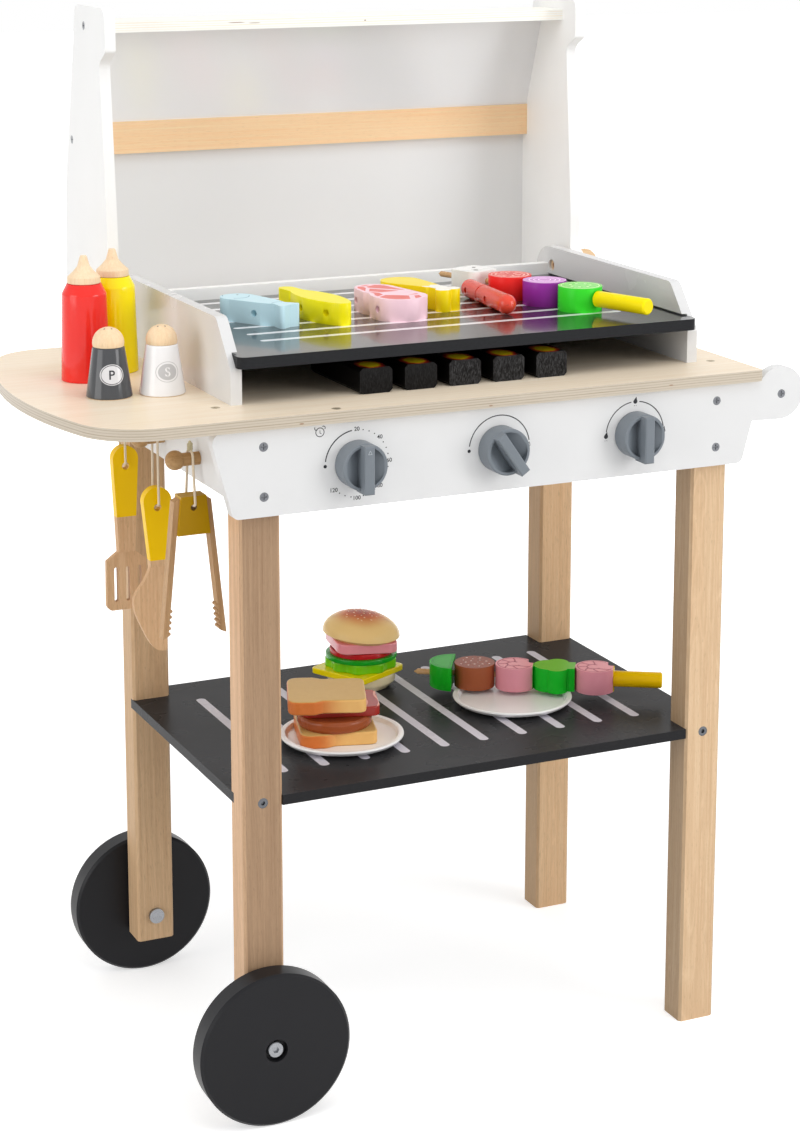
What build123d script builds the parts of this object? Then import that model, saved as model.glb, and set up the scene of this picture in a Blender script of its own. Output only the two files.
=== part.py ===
from build123d import *
import math
import os

# All sizes in millimetres. x runs along the front panel, y away from the player, z up.
# The origin is on the floor, midway between the legs.

# Overall sizes
frame_w = 416.0
frame_d = 280.0
table_z = 550.0
lid_height = 280.0

# Boards and gaps
board = 9.0
seat_gap = 0.3
run_gap = 0.05
bore_gap = 0.1

# Legs, wheels and shelf
leg_w = 32.0
leg_d = 26.0
leg_edge = 2.0
dado_depth = 6.5
leg_under_axle = 22.0
wheel_r = 61.0
wheel_t = 20.0
wheel_space = 3.0
wheel_edge = 2.0
axle_r = 4.0
hub_r = 9.0
hub_pocket = 5.0
washer_r = 7.5
wheel_bolt_head_r = 6.5
wheel_bolt_head_h = 3.2
wheel_socket_r = 2.6
shelf_z = 255.0
shelf_t = 8.0

# Panels and table
panel_drop = 75.0
panel_over = 8.0
panel_flare = 18.0
lug_out = 43.0
lug_drop = 21.0
lug_r = 21.5
handle_r = 9.0
end_board_drop = 61.0
table_front = 5.0
table_back = 30.0
table_right = 24.0
wing_reach = 127.0
wing_corner_front = 99.0
wing_corner_back = 88.0
wing_front_r = 50.0
wing_back_r = 45.0

# Grill box
riser_inset = 8.0
riser_h = 62.0
riser_front_y = -104.0
riser_nose_h = 27.0
riser_nose_run = 29.0
riser_back_y = 157.0
riser_back_r = 24.0
plate_lift = 28.0
plate_t = 9.0
plate_groove = 4.5
groove_room = 1.2
plate_front_over = 8.0
back_board_y = 134.0
back_board_h = 47.0

# Lid
lid_gap = 8.5
pivot_y = 128.0
pivot_h = 46.0
pin_r = 5.0
ear_r = 14.0
collar_r = 8.0
pivot_head_r = 12.5
pivot_head_l = 17.0
pivot_rim = 7.0
pin_sunk = 2.5
pin_bore_r = 2.0
slat_t = 9.0
slat_drop = 21.0
slat_d = 44.0
sheet_t = 2.0
rail_t = 11.0
rail_h = 27.0
rail_lift = 153.0

# Knobs
knob_x = 118.0
knob_drop = 42.0
knob_r = 18.0
knob_t = 16.0
grip_w = 8.0
grip_h = 8.0
scoop_h = 6.5
spindle_r = 4.0
spindle_reach = 9.0
spindle_foot_r = 8.0

# Pegs, cords and utensils
peg_pitch = 80.0
peg_drop = 43.0
peg_neck_r = 5.0
peg_ball_r = 7.5
peg_tenon_r = 4.0
peg_tenon_short = 1.2
peg_reach = 26.5
hang_out = 7.0
cord_r = 1.0
knot_r = 2.6
knot_h = 8.0
hole_r = 3.0
utensil_t = 8.0
blade_t = 5.0

# Bottles and shakers
bottle_r = 19.2
bottle_h = 76.0
bottle_cap_r = 12.9
shaker_r = 17.6
shaker_top_r = 12.1
shaker_h = 38.0
shaker_rim = 3.0

# Coals, foods and plates
coal_w = 27.0
coal_h = 20.0
coal_l = 95.0
coal_pitch = 37.5
coal_first_x = -84.0
food_t = 18.0
sausage_r = 8.0
sausage_l = 96.0
skewer_hole_r = 2.8
stick_r = 2.4
handle_food_r = 6.7
dish_r = 50.0
dish_h = 7.0
dish_floor = 3.2

# Screws and bolts
screw_head_r = 3.5
screw_head_h = 2.4
screw_r = 1.8
screw_l = 18.0
screw_sunk = 0.2
recess_l = 4.4
recess_w = 0.8
recess_h = 0.8
bolt_head_r = 4.0
bolt_head_h = 3.0
bolt_r = 2.2
bolt_reach = 20.0
bolt_socket_r = 1.9
bolt_socket_h = 1.8

# Places that follow from the sizes above
half_w = frame_w / 2
half_d = frame_d / 2
under_z = table_z - board
front_y = -half_d - board
leg_mid_x = half_w - leg_w / 2
panel_z = table_z - panel_drop
panel_half_bottom = half_w + panel_over
panel_half_top = panel_half_bottom + panel_flare
lug_x = half_w + lug_out
knob_z = table_z - knob_drop
peg_z = table_z - peg_drop
hang_x = -half_w - board - hang_out
riser_half = half_w - riser_inset
plate_z = table_z + plate_lift
grill_z = plate_z + plate_t
groove_x = riser_half - board + plate_groove
lid_in = riser_half + lid_gap
lid_out = lid_in + board
pivot_z = table_z + pivot_h
lid_base = table_z + seat_gap
screw_zs = [under_z - 13.5, panel_z + 15.0]
lug_z = table_z - lug_drop


def block(x0, x1, y0, y1, z0, z1):
    box = Box(x1 - x0, y1 - y0, z1 - z0)
    return Pos((x0 + x1) / 2, (y0 + y1) / 2, (z0 + z1) / 2) * box


def bar_x(x0, x1, y, z, r):
    return Pos((x0 + x1) / 2, y, z) * Rot(0, 90, 0) * Cylinder(r, x1 - x0)


def bar_y(x, y0, y1, z, r):
    return Pos(x, (y0 + y1) / 2, z) * Rot(90, 0, 0) * Cylinder(r, y1 - y0)


def bar_z(x, y, z0, z1, r):
    return Pos(x, y, (z0 + z1) / 2) * Cylinder(r, z1 - z0)


def outline(points):
    return make_face(Polyline(*points, close=True))


def in_xz(face, y0, y1):
    # A sketch drawn as x and z becomes a solid between two y values.
    solid = extrude(face, y1 - y0)
    return Pos(0, y1, 0) * Rot(90, 0, 0) * solid


def in_yz(face, x0, x1):
    # A sketch drawn as y and z becomes a solid between two x values.
    solid = extrude(face, x1 - x0)
    return Pos(x0, 0, 0) * Rot(0, 90, 0) * Rot(0, 0, 90) * solid


def in_xy(face, z0, z1):
    return Pos(0, 0, z0) * extrude(face, z1 - z0)


def near(shape, x, y, reach=1.0):
    return [v for v in shape.vertices() if math.hypot(v.X - x, v.Y - y) < reach]


def half_disc(r, height):
    # Half a disc beside the turning axis becomes a ball or a rounded end.
    return Pos(0, height) * Circle(r) & Pos(r, height) * Rectangle(2 * r, 2 * r)


def turned(points, *balls):
    # Each point is a radius and a height on the turning axis, here z.
    face = outline(points)
    for r, height in balls:
        face = face + half_disc(r, height)
    return revolve(Plane.XZ * face, Axis.Z)


def turned_x(points, *balls, side=1):
    # The same piece laid down, with its heights counted along x to the given side.
    return Rot(0, 90 * side, 0) * turned(points, *balls)


def dome(r, start, length, bands=4):
    # Points of a flattened round end, from its rim to the turning axis.
    points = []
    for k in range(bands):
        a = math.radians(90 * k / bands)
        points.append((r * math.cos(a), start + length * math.sin(a)))
    return points + [(0, start + length)]


def save(shape, name):
    if isinstance(shape, list):
        shape = Compound(children=shape)
    export_step(shape, "parts/" + name + ".step")


# Screws

def screw(x, y, z, turn):
    # The head's outer face is at the given point and the shank runs inwards.
    body = turned([
        (0, 0),
        (screw_head_r, 0),
        (screw_r, -screw_head_h),
        (screw_r, -screw_l),
        (0, -screw_l),
    ])
    body -= Box(recess_l, recess_w, 2 * recess_h) + Box(recess_w, recess_l, 2 * recess_h)
    return Pos(x, y, z) * turn * body


def screw_hole(x, y, z, turn):
    # The screw sits a little below the surface that this hole is cut into.
    wide = screw_head_r + bore_gap
    narrow = screw_r + bore_gap
    deep = screw_l + screw_sunk + 1
    hole = turned([
        (0, 1),
        (wide, 1),
        (wide, -screw_sunk),
        (narrow, -screw_sunk - screw_head_h),
        (narrow, -deep),
        (0, -deep),
    ])
    return Pos(x, y, z) * turn * hole


FRONT = Rot(90, 0, 0)
BACK = Rot(-90, 0, 0)
LEFT = Rot(0, -90, 0)
RIGHT = Rot(0, 90, 0)
TOP = Rot(0, 0, 0)


def panel_screw_places():
    places = []
    for x in (-leg_mid_x, leg_mid_x):
        for z in screw_zs:
            places.append((x, z))
    places.append((lug_x + 1, lug_z - 1))
    return places


def table_screw_places():
    side_x = half_w + board / 2
    places = [(side_x, -105.0), (-side_x, -105.0), (side_x, 105.0), (-side_x, 105.0)]
    places.append((-132.6, front_y + board / 2))
    return places


def wood_screws():
    out = []
    for x, z in panel_screw_places():
        out.append(screw(x, front_y + screw_sunk, z, FRONT))
        out.append(screw(x, -front_y - screw_sunk, z, BACK))
    for x, y in table_screw_places():
        out.append(screw(x, y, table_z - screw_sunk, TOP))
    return out


# Stand

def leg(side, end):
    # side is -1 left or 1 right, end is -1 front or 1 rear.
    foot = wheel_r - leg_under_axle if side < 0 else 0.0
    x0 = min(side * half_w, side * (half_w - leg_w))
    y0 = min(end * half_d, end * (half_d - leg_d))
    body = block(x0, x0 + leg_w, y0, y0 + leg_d, foot, under_z)
    upright = [e for e in body.edges() if e.bounding_box().size.Z > 100]
    body = chamfer(upright, leg_edge)
    inner = end * (half_d - leg_d)
    dado = end * (half_d - leg_d + dado_depth)
    dado_y = [min(inner, dado), max(inner, dado)]
    body -= block(x0 - 1, x0 + leg_w + 1, *dado_y, shelf_z - shelf_t, shelf_z)
    outer = end * half_d
    mid = x0 + leg_w / 2
    for x, z in panel_screw_places():
        if abs(x - mid) < 1:
            hole_end = outer - end * (screw_l - board + 2)
            body -= bar_y(x, min(outer, hole_end), max(outer, hole_end), z, screw_r + bore_gap)
    bolt_z = shelf_z - shelf_t / 2
    body -= bar_y(mid, min(outer, inner) - 1, max(outer, inner) + 1, bolt_z, bolt_r + bore_gap)
    pocket = outer - end * (screw_sunk + bolt_head_h)
    body -= bar_y(mid, min(outer, pocket), max(outer, pocket), bolt_z, bolt_head_r + bore_gap)
    if side < 0:
        body -= bar_y(mid, min(outer, inner) - 1, max(outer, inner) + 1, wheel_r, axle_r + bore_gap)
    return body


def shelf():
    z0 = shelf_z - shelf_t
    tab_y = half_d - leg_d + dado_depth
    body = block(-half_w + leg_w, half_w - leg_w, -half_d, half_d, z0, shelf_z)
    body += block(-half_w, half_w, -tab_y, tab_y, z0, shelf_z)
    bolt_z = shelf_z - shelf_t / 2
    deep = bolt_reach + 2
    for x in (-leg_mid_x, leg_mid_x):
        body -= bar_y(x, -tab_y - 1, -tab_y + deep, bolt_z, bolt_r + bore_gap)
        body -= bar_y(x, tab_y - deep, tab_y + 1, bolt_z, bolt_r + bore_gap)
    return body


def shelf_bolts():
    length = leg_d - dado_depth + bolt_reach - screw_sunk
    bolt = turned([
        (0, 0),
        (bolt_head_r, 0),
        (bolt_head_r, -bolt_head_h),
        (bolt_r, -bolt_head_h),
        (bolt_r, -length),
        (0, -length),
    ])
    bolt -= extrude(RegularPolygon(bolt_socket_r, 6), -bolt_socket_h)
    out = []
    for x in (-leg_mid_x, leg_mid_x):
        for end, turn in ((-1, FRONT), (1, BACK)):
            out.append(Pos(x, end * (half_d - screw_sunk), shelf_z - shelf_t / 2) * turn * bolt)
    return out


def panel(end):
    # The panel carries the legs' screws and the round lug for the push handle.
    pts = [
        (-panel_half_bottom, panel_z),
        (panel_half_bottom, panel_z),
        (panel_half_top, under_z),
        (-panel_half_top, under_z),
    ]
    face = outline(pts)
    face = fillet(near(face, -panel_half_bottom, panel_z) + near(face, panel_half_bottom, panel_z), 6)
    face = fillet(near(face, -panel_half_top, under_z), 8)
    neck = outline([
        (panel_half_bottom - 2, lug_z - lug_r + 1),
        (lug_x, lug_z - lug_r),
        (lug_x, under_z),
        (panel_half_bottom - 2, under_z),
    ])
    lug = Pos(lug_x, lug_z) * Circle(lug_r)
    face = face + neck + lug
    y0 = front_y if end < 0 else half_d
    body = in_xz(face, y0, y0 + board)
    turn = FRONT if end < 0 else BACK
    outer = end * (half_d + board)
    for x, z in panel_screw_places():
        body -= screw_hole(x, outer, z, turn)
    if end < 0:
        for x in (-knob_x, 0, knob_x):
            body -= bar_y(x, y0 - 1, y0 + board + 1, knob_z, spindle_r + bore_gap)
        for x, y in table_screw_places():
            if abs(y - (y0 + board / 2)) < 1:
                body -= bar_z(x, y, table_z - screw_l - 1, under_z + 1, screw_r + bore_gap)
    return body


def push_handle():
    body = bar_y(lug_x, -half_d, half_d, lug_z, handle_r)
    x, z = lug_x + 1, lug_z - 1
    depth = screw_l - board + 2
    body -= bar_y(x, -half_d - 1, -half_d + depth, z, screw_r + bore_gap)
    body -= bar_y(x, half_d - depth, half_d + 1, z, screw_r + bore_gap)
    return body


def end_board(side):
    x0 = min(side * half_w, side * (half_w + board))
    body = block(x0, x0 + board, -half_d, half_d, table_z - end_board_drop, under_z)
    for x, y in table_screw_places():
        if abs(x - (x0 + board / 2)) < 1:
            body -= bar_z(x, y, table_z - screw_l - 1, under_z + 1, screw_r + bore_gap)
    if side < 0:
        for k in (-1, 0, 1):
            body -= bar_x(x0 - 1, x0 + board - 1, k * peg_pitch, peg_z, peg_tenon_r + bore_gap)
    return body


def tabletop():
    yf = front_y - table_front
    yb = half_d + table_back
    right = half_w + table_right
    left = -half_w - wing_reach
    bf = (-half_w - wing_corner_front, yf)
    bb = (-half_w - wing_corner_back, yb)
    rim = ThreePointArc(bb, (left, (yf + yb) / 2 + 8), bf)
    lines = Polyline(bf, (right, yf), (right, yb), bb)
    face = make_face([rim, lines])
    face = fillet(near(face, *bf), wing_front_r)
    face = fillet(near(face, *bb), wing_back_r)
    face = fillet(near(face, right, yf) + near(face, right, yb), 4)
    body = in_xy(face, under_z, table_z)
    for x, y in table_screw_places():
        body -= screw_hole(x, y, table_z, TOP)
    return body


# Grill box

def riser_side(side):
    zn = table_z + riser_nose_h
    zt = table_z + riser_h
    nose = (riser_front_y + riser_nose_run, zt)
    face = outline([
        (riser_front_y, table_z),
        (riser_front_y, zn),
        nose,
        (riser_back_y, zt),
        (riser_back_y, table_z),
    ])
    face = fillet(near(face, riser_front_y, zn), 7)
    face = fillet(near(face, *nose), 10)
    face = fillet(near(face, riser_back_y, zt), riser_back_r)
    x0 = min(side * riser_half, side * (riser_half - board))
    body = in_yz(face, x0, x0 + board)
    # The groove is a little taller than the plate that slides into it.
    inner = side * (riser_half - board)
    deep = side * groove_x
    groove = [min(inner, deep), max(inner, deep), riser_front_y - 1, back_board_y]
    body -= block(*groove, plate_z, grill_z + groove_room)
    body -= bar_x(x0 - 1, x0 + board + 1, pivot_y, pivot_z, pin_r + bore_gap)
    return body


def riser_back():
    half = riser_half - board
    return block(-half, half, back_board_y, back_board_y + board, table_z, table_z + back_board_h)


def grill_plate():
    y0 = riser_front_y - plate_front_over
    body = block(-groove_x, groove_x, y0, back_board_y, plate_z, grill_z)
    front = [e for e in body.edges().filter_by(Axis.Z) if e.center().Y < y0 + 1]
    return fillet(front, 6)


# Lid

def lid_profile():
    # Drawn as y and z, with the lid standing open.
    top = table_z + lid_height
    b = lid_base
    face = outline([
        (pivot_y - 1, b),
        (pivot_y - 2, b + 87),
        (pivot_y + 10, top - 44),
        (pivot_y - 6, top - 35),
        (pivot_y - 6, top),
        (pivot_y + 71, top),
        (pivot_y + 108, top - 152),
        (pivot_y + 114, b + 46),
        (pivot_y + 114, b),
    ])
    face = fillet(near(face, pivot_y - 6, top), 11)
    face = fillet(near(face, pivot_y + 71, top), 10)
    face = fillet(near(face, pivot_y - 6, top - 35), 3)
    face = fillet(near(face, pivot_y + 10, top - 44), 8)
    face = fillet(near(face, pivot_y + 114, b), 8)
    face = fillet(near(face, pivot_y + 108, top - 152), 40)
    return face + Pos(pivot_y, pivot_z) * Circle(ear_r)


slat_y0 = pivot_y + 18
slat_y1 = slat_y0 + slat_d
slat_z0 = table_z + lid_height - slat_drop
rail_y0 = pivot_y + 83
rail_z0 = table_z + rail_lift


def lid_screw_places():
    return [(slat_y0 + 31, slat_z0 + slat_t / 2), (rail_y0 + rail_t / 2, rail_z0 + rail_h / 2)]


def lid_side(side):
    x0 = min(side * lid_in, side * lid_out)
    body = in_yz(lid_profile(), x0, x0 + board)
    body -= bar_x(x0 - 1, x0 + board + 1, pivot_y, pivot_z, pin_r + run_gap)
    turn = LEFT if side < 0 else RIGHT
    for y, z in lid_screw_places():
        body -= screw_hole(side * lid_out, y, z, turn)
    return body


def lid_bar(y0, y1, z0, z1):
    body = block(-lid_in, lid_in, y0, y1, z0, z1)
    depth = screw_l - board + 2
    for y, z in lid_screw_places():
        if y0 < y < y1 and z0 < z < z1:
            body -= bar_x(-lid_in - 1, -lid_in + depth, y, z, screw_r + bore_gap)
            body -= bar_x(lid_in - depth, lid_in + 1, y, z, screw_r + bore_gap)
    return body


def lid_top_slat():
    return lid_bar(slat_y0, slat_y1, slat_z0, slat_z0 + slat_t)


def lid_mid_rail():
    return lid_bar(rail_y0, rail_y0 + rail_t, rail_z0, rail_z0 + rail_h)


def lid_upper_sheet():
    low = rail_z0 + rail_h
    y_low = rail_y0 + 1.5
    y_high = slat_y1 - 3 - sheet_t
    face = outline([
        (y_low, low),
        (y_low + sheet_t, low),
        (y_high + sheet_t, slat_z0),
        (y_high, slat_z0),
    ])
    return in_yz(face, -lid_in, lid_in)


def lid_lower_sheet():
    y0 = rail_y0 + rail_t - 1 - sheet_t
    return block(-lid_in, lid_in, y0, y0 + sheet_t, table_z + 12, rail_z0)


def lid_screws():
    out = []
    for y, z in lid_screw_places():
        out.append(screw(-lid_out + screw_sunk, y, z, LEFT))
        out.append(screw(lid_out - screw_sunk, y, z, RIGHT))
    return out


def lid_pivot_pins():
    # A turned pin is fixed in each riser, with a collar inside the lid and a head outside it.
    inner = riser_half - board + pin_sunk
    head = lid_out + seat_gap
    points = [
        (0, inner + 3),
        (pin_bore_r, inner + 3),
        (pin_bore_r, inner),
        (pin_r, inner),
        (pin_r, riser_half),
        (collar_r, riser_half),
        (collar_r, lid_in - seat_gap),
        (pin_r, lid_in - seat_gap),
        (pin_r, head),
        (pivot_head_r - 0.8, head),
    ]
    points += dome(pivot_head_r, head + pivot_rim, pivot_head_l - pivot_rim)
    return [Pos(0, pivot_y, pivot_z) * turned_x(points, side=side) for side in (-1, 1)]


# Wheels and knobs

def wheel(end):
    near_leg = end * (half_d + wheel_space)
    far = end * (half_d + wheel_space + wheel_t)
    body = bar_y(-leg_mid_x, min(near_leg, far), max(near_leg, far), wheel_r, wheel_r)
    body = chamfer(body.edges().filter_by(GeomType.CIRCLE), wheel_edge)
    body -= bar_y(-leg_mid_x, min(near_leg, far) - 1, max(near_leg, far) + 1, wheel_r, axle_r + run_gap)
    pocket = far - end * hub_pocket
    body -= bar_y(-leg_mid_x, min(pocket, far), max(pocket, far), wheel_r, hub_r)
    return body


def wheel_bolt(end):
    # Drawn along z with the leg's outer face at 0, the wheel above and the leg below.
    seat = wheel_space + wheel_t - hub_pocket + seat_gap
    top = seat + wheel_bolt_head_h
    low = -leg_d - wheel_bolt_head_h
    body = turned([
        (0, low),
        (wheel_bolt_head_r, low),
        (wheel_bolt_head_r, -leg_d),
        (axle_r, -leg_d),
        (axle_r, 0),
        (washer_r, 0),
        (washer_r, wheel_space - seat_gap),
        (axle_r, wheel_space - seat_gap),
        (axle_r, seat),
        (wheel_bolt_head_r, seat),
        (wheel_bolt_head_r, top - 0.8),
        (wheel_bolt_head_r - 0.8, top),
        (0, top),
    ])
    body -= Pos(0, 0, top - 1.8) * extrude(RegularPolygon(wheel_socket_r, 6), 2)
    turn = FRONT if end < 0 else BACK
    return Pos(-leg_mid_x, end * half_d, wheel_r) * turn * body


def knob_at(x, angle):
    back = front_y - 0.4
    face = back - knob_t
    body = bar_y(0, face, back, 0, knob_r)
    front = [e for e in body.edges().filter_by(GeomType.CIRCLE) if e.center().Y < face + 1]
    body = chamfer(front, 1.0)
    for side in (-1, 1):
        # The face falls away beside the grip and comes up again at the rim.
        start = side * (grip_w / 2 - 0.5)
        rim = side * (knob_r - 3)
        wedge = outline([
            (start, face - 1),
            (start, face + scoop_h),
            (rim, face),
            (rim, face - 1),
        ])
        body -= in_xy(wedge, -knob_r, knob_r) & bar_y(0, face - 1, back, 0, knob_r - 2.5)
    grip = block(-grip_w / 2, grip_w / 2, face - grip_h, face + 8, -knob_r - 1, knob_r - 0.5)
    tips = [e for e in grip.edges() if e.center().Y < face - grip_h + 0.5]
    grip = chamfer(tips, 0.9)
    body += grip
    body -= bar_y(0, front_y - spindle_reach - 0.9, back + 1, 0, spindle_r + run_gap)
    return Pos(x, 0, knob_z) * Rot(0, angle, 0) * body


def knob_spindles():
    out = []
    for x in (-knob_x, 0, knob_x):
        rod = bar_y(x, front_y - spindle_reach, -half_d, knob_z, spindle_r)
        out.append(rod + bar_y(x, -half_d, -half_d + 2.5, knob_z, spindle_foot_r))
    return out


# Pegs, utensils and cords

def utensil_pegs():
    # A turned peg counts outwards from the board's inner face: tenon, neck and ball.
    middle = board + peg_reach - peg_ball_r
    points = [
        (0, peg_tenon_short),
        (peg_tenon_r, peg_tenon_short),
        (peg_tenon_r, board),
        (peg_neck_r, board),
        (peg_neck_r, middle),
        (0, middle),
    ]
    peg = turned_x(points, (peg_ball_r, middle), side=-1)
    return [Pos(-half_w, k * peg_pitch, peg_z) * peg for k in (-1, 0, 1)]


def cord_hole(y, z, half_t, r):
    return bar_y(hang_x, y - half_t - 1, y + half_t + 1, z, r)


spatula_hole_z = peg_z - 40.0
knife_hole_z = peg_z - 55.5
tongs_hole_z = peg_z - 36.0


def spatula():
    x, top = hang_x + 1, spatula_hole_z + 16.5
    handle = outline([
        (x - 10.7, top - 10.7),
        (x - 8.2, top - 58.5),
        (x - 6.9, top - 88),
        (x + 6.9, top - 88),
        (x + 8.2, top - 58.5),
        (x + 10.7, top - 10.7),
    ])
    handle = handle + Pos(x, top - 10.7) * Circle(10.7)
    blade = outline([
        (x - 6.9, top - 82),
        (x - 7.3, top - 88),
        (x - 17, top - 95),
        (x - 17.4, top - 136.5),
        (x + 16.6, top - 136.5),
        (x + 16.2, top - 95),
        (x + 7.3, top - 88),
        (x + 6.9, top - 82),
    ])
    low = near(blade, x - 17.4, top - 136.5) + near(blade, x + 16.6, top - 136.5)
    blade = fillet(low, 5)
    for k in (-1, 0, 1):
        blade -= Pos(x + 0.5 + k * 9.9, top - 115) * Rot(0, 0, 90) * SlotOverall(29, 3.4)
    y = peg_pitch
    body = in_xz(handle, y - utensil_t / 2, y + utensil_t / 2)
    body += in_xz(blade, y - blade_t / 2, y + blade_t / 2)
    return body - bar_y(x, y - utensil_t, y + utensil_t, spatula_hole_z, hole_r)


def knife():
    x, top = hang_x, knife_hole_z + 16.2
    handle = outline([
        (x - 11.5, top - 11.5),
        (x - 6.7, top - 58.7),
        (x - 6.5, top - 64),
        (x + 6.7, top - 64),
        (x + 6.7, top - 58.7),
        (x + 11.5, top - 11.5),
    ])
    handle = handle + Pos(x, top - 11.5) * Circle(11.5)
    start, tip = (x - 6.5, top - 60), (x + 6.4, top - 132.5)
    bends = [(x - 9.5, top - 72), (x - 19.2, top - 86), (x - 13, top - 115), (x + 2, top - 133)]
    edge = Spline(start, *bends, tip)
    blade = make_face([edge, Polyline(tip, (x + 6.7, top - 60), start)])
    body = in_xz(handle, -utensil_t / 2, utensil_t / 2) + in_xz(blade, -blade_t / 2, blade_t / 2)
    return body - cord_hole(0, knife_hole_z, utensil_t, hole_r)


tongs_top = tongs_hole_z + 8.8
tongs_spread = 0.1
tongs_arm_t = 4.5
tongs_arm_l = 107.5
tongs_block_w = 20.0
tongs_block_h = 29.8
tongs_block_d = 14.0


def tongs_block():
    x, w = hang_x, tongs_block_w / 2
    low = w + tongs_spread * tongs_block_h
    face = outline([
        (x - w, tongs_top),
        (x + w, tongs_top),
        (x + low, tongs_top - tongs_block_h),
        (x - low, tongs_top - tongs_block_h),
    ])
    body = in_xz(face, -peg_pitch - tongs_block_d / 2, -peg_pitch + tongs_block_d / 2)
    return body - cord_hole(-peg_pitch, tongs_hole_z, tongs_block_d, hole_r - 0.5)


def tongs_arms():
    out = []
    for side in (-1, 1):
        w = tongs_block_w / 2
        z0 = tongs_top - 2.0
        z1 = z0 - tongs_arm_l
        inner0 = hang_x + side * (w + tongs_spread * 2.0)
        inner1 = hang_x + side * (w + tongs_spread * (2.0 + tongs_arm_l))
        face = outline([
            (inner0, z0),
            (inner0 + side * tongs_arm_t, z0 - 2),
            (inner1 + side * tongs_arm_t, z1),
            (inner1, z1 + 2),
        ])
        for k in range(5):
            z = z1 + 4 + 4.4 * k
            rib_x = hang_x + side * (w + tongs_spread * (tongs_top - z))
            face = face + Pos(rib_x, z) * Circle(1.3)
        out.append(in_xz(face, -peg_pitch - 4.5, -peg_pitch + 4.5))
    return out


def cord(y, hole_z, hole_radius, half_t):
    # The cord lies on the peg's neck, hangs down both sides and runs under the top of the hole.
    round_r = peg_neck_r + cord_r + seat_gap
    low = hole_z + hole_radius - cord_r - seat_gap
    wide = half_t + 3.0
    high = peg_z + round_r
    pts = [
        (hang_x, y - 0.5, high),
        (hang_x, y - round_r, high),
        (hang_x, y - round_r, peg_z - 4),
        (hang_x, y - wide, low + 4),
        (hang_x, y - wide, low),
        (hang_x, y + wide, low),
        (hang_x, y + wide, low + 4),
        (hang_x, y + round_r, peg_z - 4),
        (hang_x, y + round_r, high),
        (hang_x, y + 0.5, high),
    ]
    radii = [5.5, 3, 1.2, 2.4, 2.4, 1.2, 3, 5.5]
    path = FilletPolyline(*pts, radius=radii)
    ring = Plane(origin=path @ 0, z_dir=path % 0) * RegularPolygon(cord_r, 8)
    tube = sweep(ring, path)
    knot_z = peg_z + peg_neck_r + seat_gap
    knot = bar_z(hang_x, y, knot_z, knot_z + knot_h, knot_r)
    knot = chamfer(knot.edges().filter_by(GeomType.CIRCLE), 0.9)
    print("cord at y", y, "length", round(path.length, 1))
    return tube + knot


# Table ware

def bottle(x, y):
    # The painted bottle and its plain cap are one turned piece.
    r, neck = bottle_r, bottle_cap_r
    points = [
        (0, 0),
        (r, 0),
        (r - 1.9, bottle_h - 8),
        (neck + 0.6, bottle_h),
        (neck, bottle_h),
        (neck, bottle_h + 6),
        (neck - 3.2, bottle_h + 9),
        (neck - 8.2, bottle_h + 20),
        (neck - 9.5, bottle_h + 21.3),
        (0, bottle_h + 21.3),
    ]
    return Pos(x, y, table_z) * turned(points)


def shaker(x, y):
    # A cone of paint carries a plain wooden dome.
    middle = shaker_h + shaker_rim
    points = [
        (0, 0),
        (shaker_r, 0),
        (shaker_top_r, shaker_h),
        (shaker_top_r, middle),
        (0, middle),
    ]
    return Pos(x, y, table_z) * turned(points, (shaker_top_r, middle))


def charcoal(k):
    x = coal_first_x + coal_pitch * k
    y0 = -108.0
    body = block(x - coal_w / 2, x + coal_w / 2, y0, y0 + coal_l, table_z, table_z + coal_h)
    long_edges = [e for e in body.edges().filter_by(Axis.Y)]
    return chamfer(long_edges, 2.5)


# Food on the grill

def on_grill(body, x, y, turn):
    return Pos(x, y, grill_z) * Rot(0, 0, turn) * body


def cross_hole(length_at, reach=60):
    return Pos(length_at, 0, food_t / 2) * Rot(90, 0, 0) * Cylinder(skewer_hole_r, reach)


def fish():
    face = outline([
        (-24, -14.5),
        (10, -10),
        (22, -6),
        (36, -12),
        (33, 0),
        (36, 12),
        (22, 6),
        (10, 10),
        (-24, 14.5),
    ])
    face = face + Pos(-24, 0) * Circle(14.5)
    face = fillet(near(face, 36, -12) + near(face, 36, 12), 2.5)
    body = in_xy(face, 0, food_t) - cross_hole(4)
    return on_grill(body, -128, 19, -66)


def corn():
    # Two long arcs make the cob, and a narrow stalk stands out at one end.
    arcs = [ThreePointArc((-46, 0), (0, side * 14), (46, 0)) for side in (-1, 1)]
    face = make_face(arcs)
    face = fillet(near(face, 46, 0), 7)
    face = face + Pos(-44, 0) * SlotOverall(26, 13)
    body = in_xy(face, 0, food_t)
    body -= cross_hole(-8) + cross_hole(24)
    return on_grill(body, -78, 14, -80)


def steak():
    face = make_hull((Pos(20, 0) * Circle(22)).edges() + (Pos(-23, 1) * Circle(17)).edges())
    face -= Pos(-2, -30) * Circle(13)
    body = in_xy(face, 0, food_t)
    body -= cross_hole(-24) + cross_hole(22)
    return on_grill(body, -20, 12, -85)


def drumstick():
    face = make_hull((Pos(-22, 0) * Circle(17)).edges() + (Pos(14, 0) * Circle(8)).edges())
    face += Pos(24, 0) * Rectangle(20, 13)
    face += Pos(34, 5) * Circle(6.5)
    face += Pos(34, -5) * Circle(6.5)
    return on_grill(in_xy(face, 0, food_t), 20, 38, -72)


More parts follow.
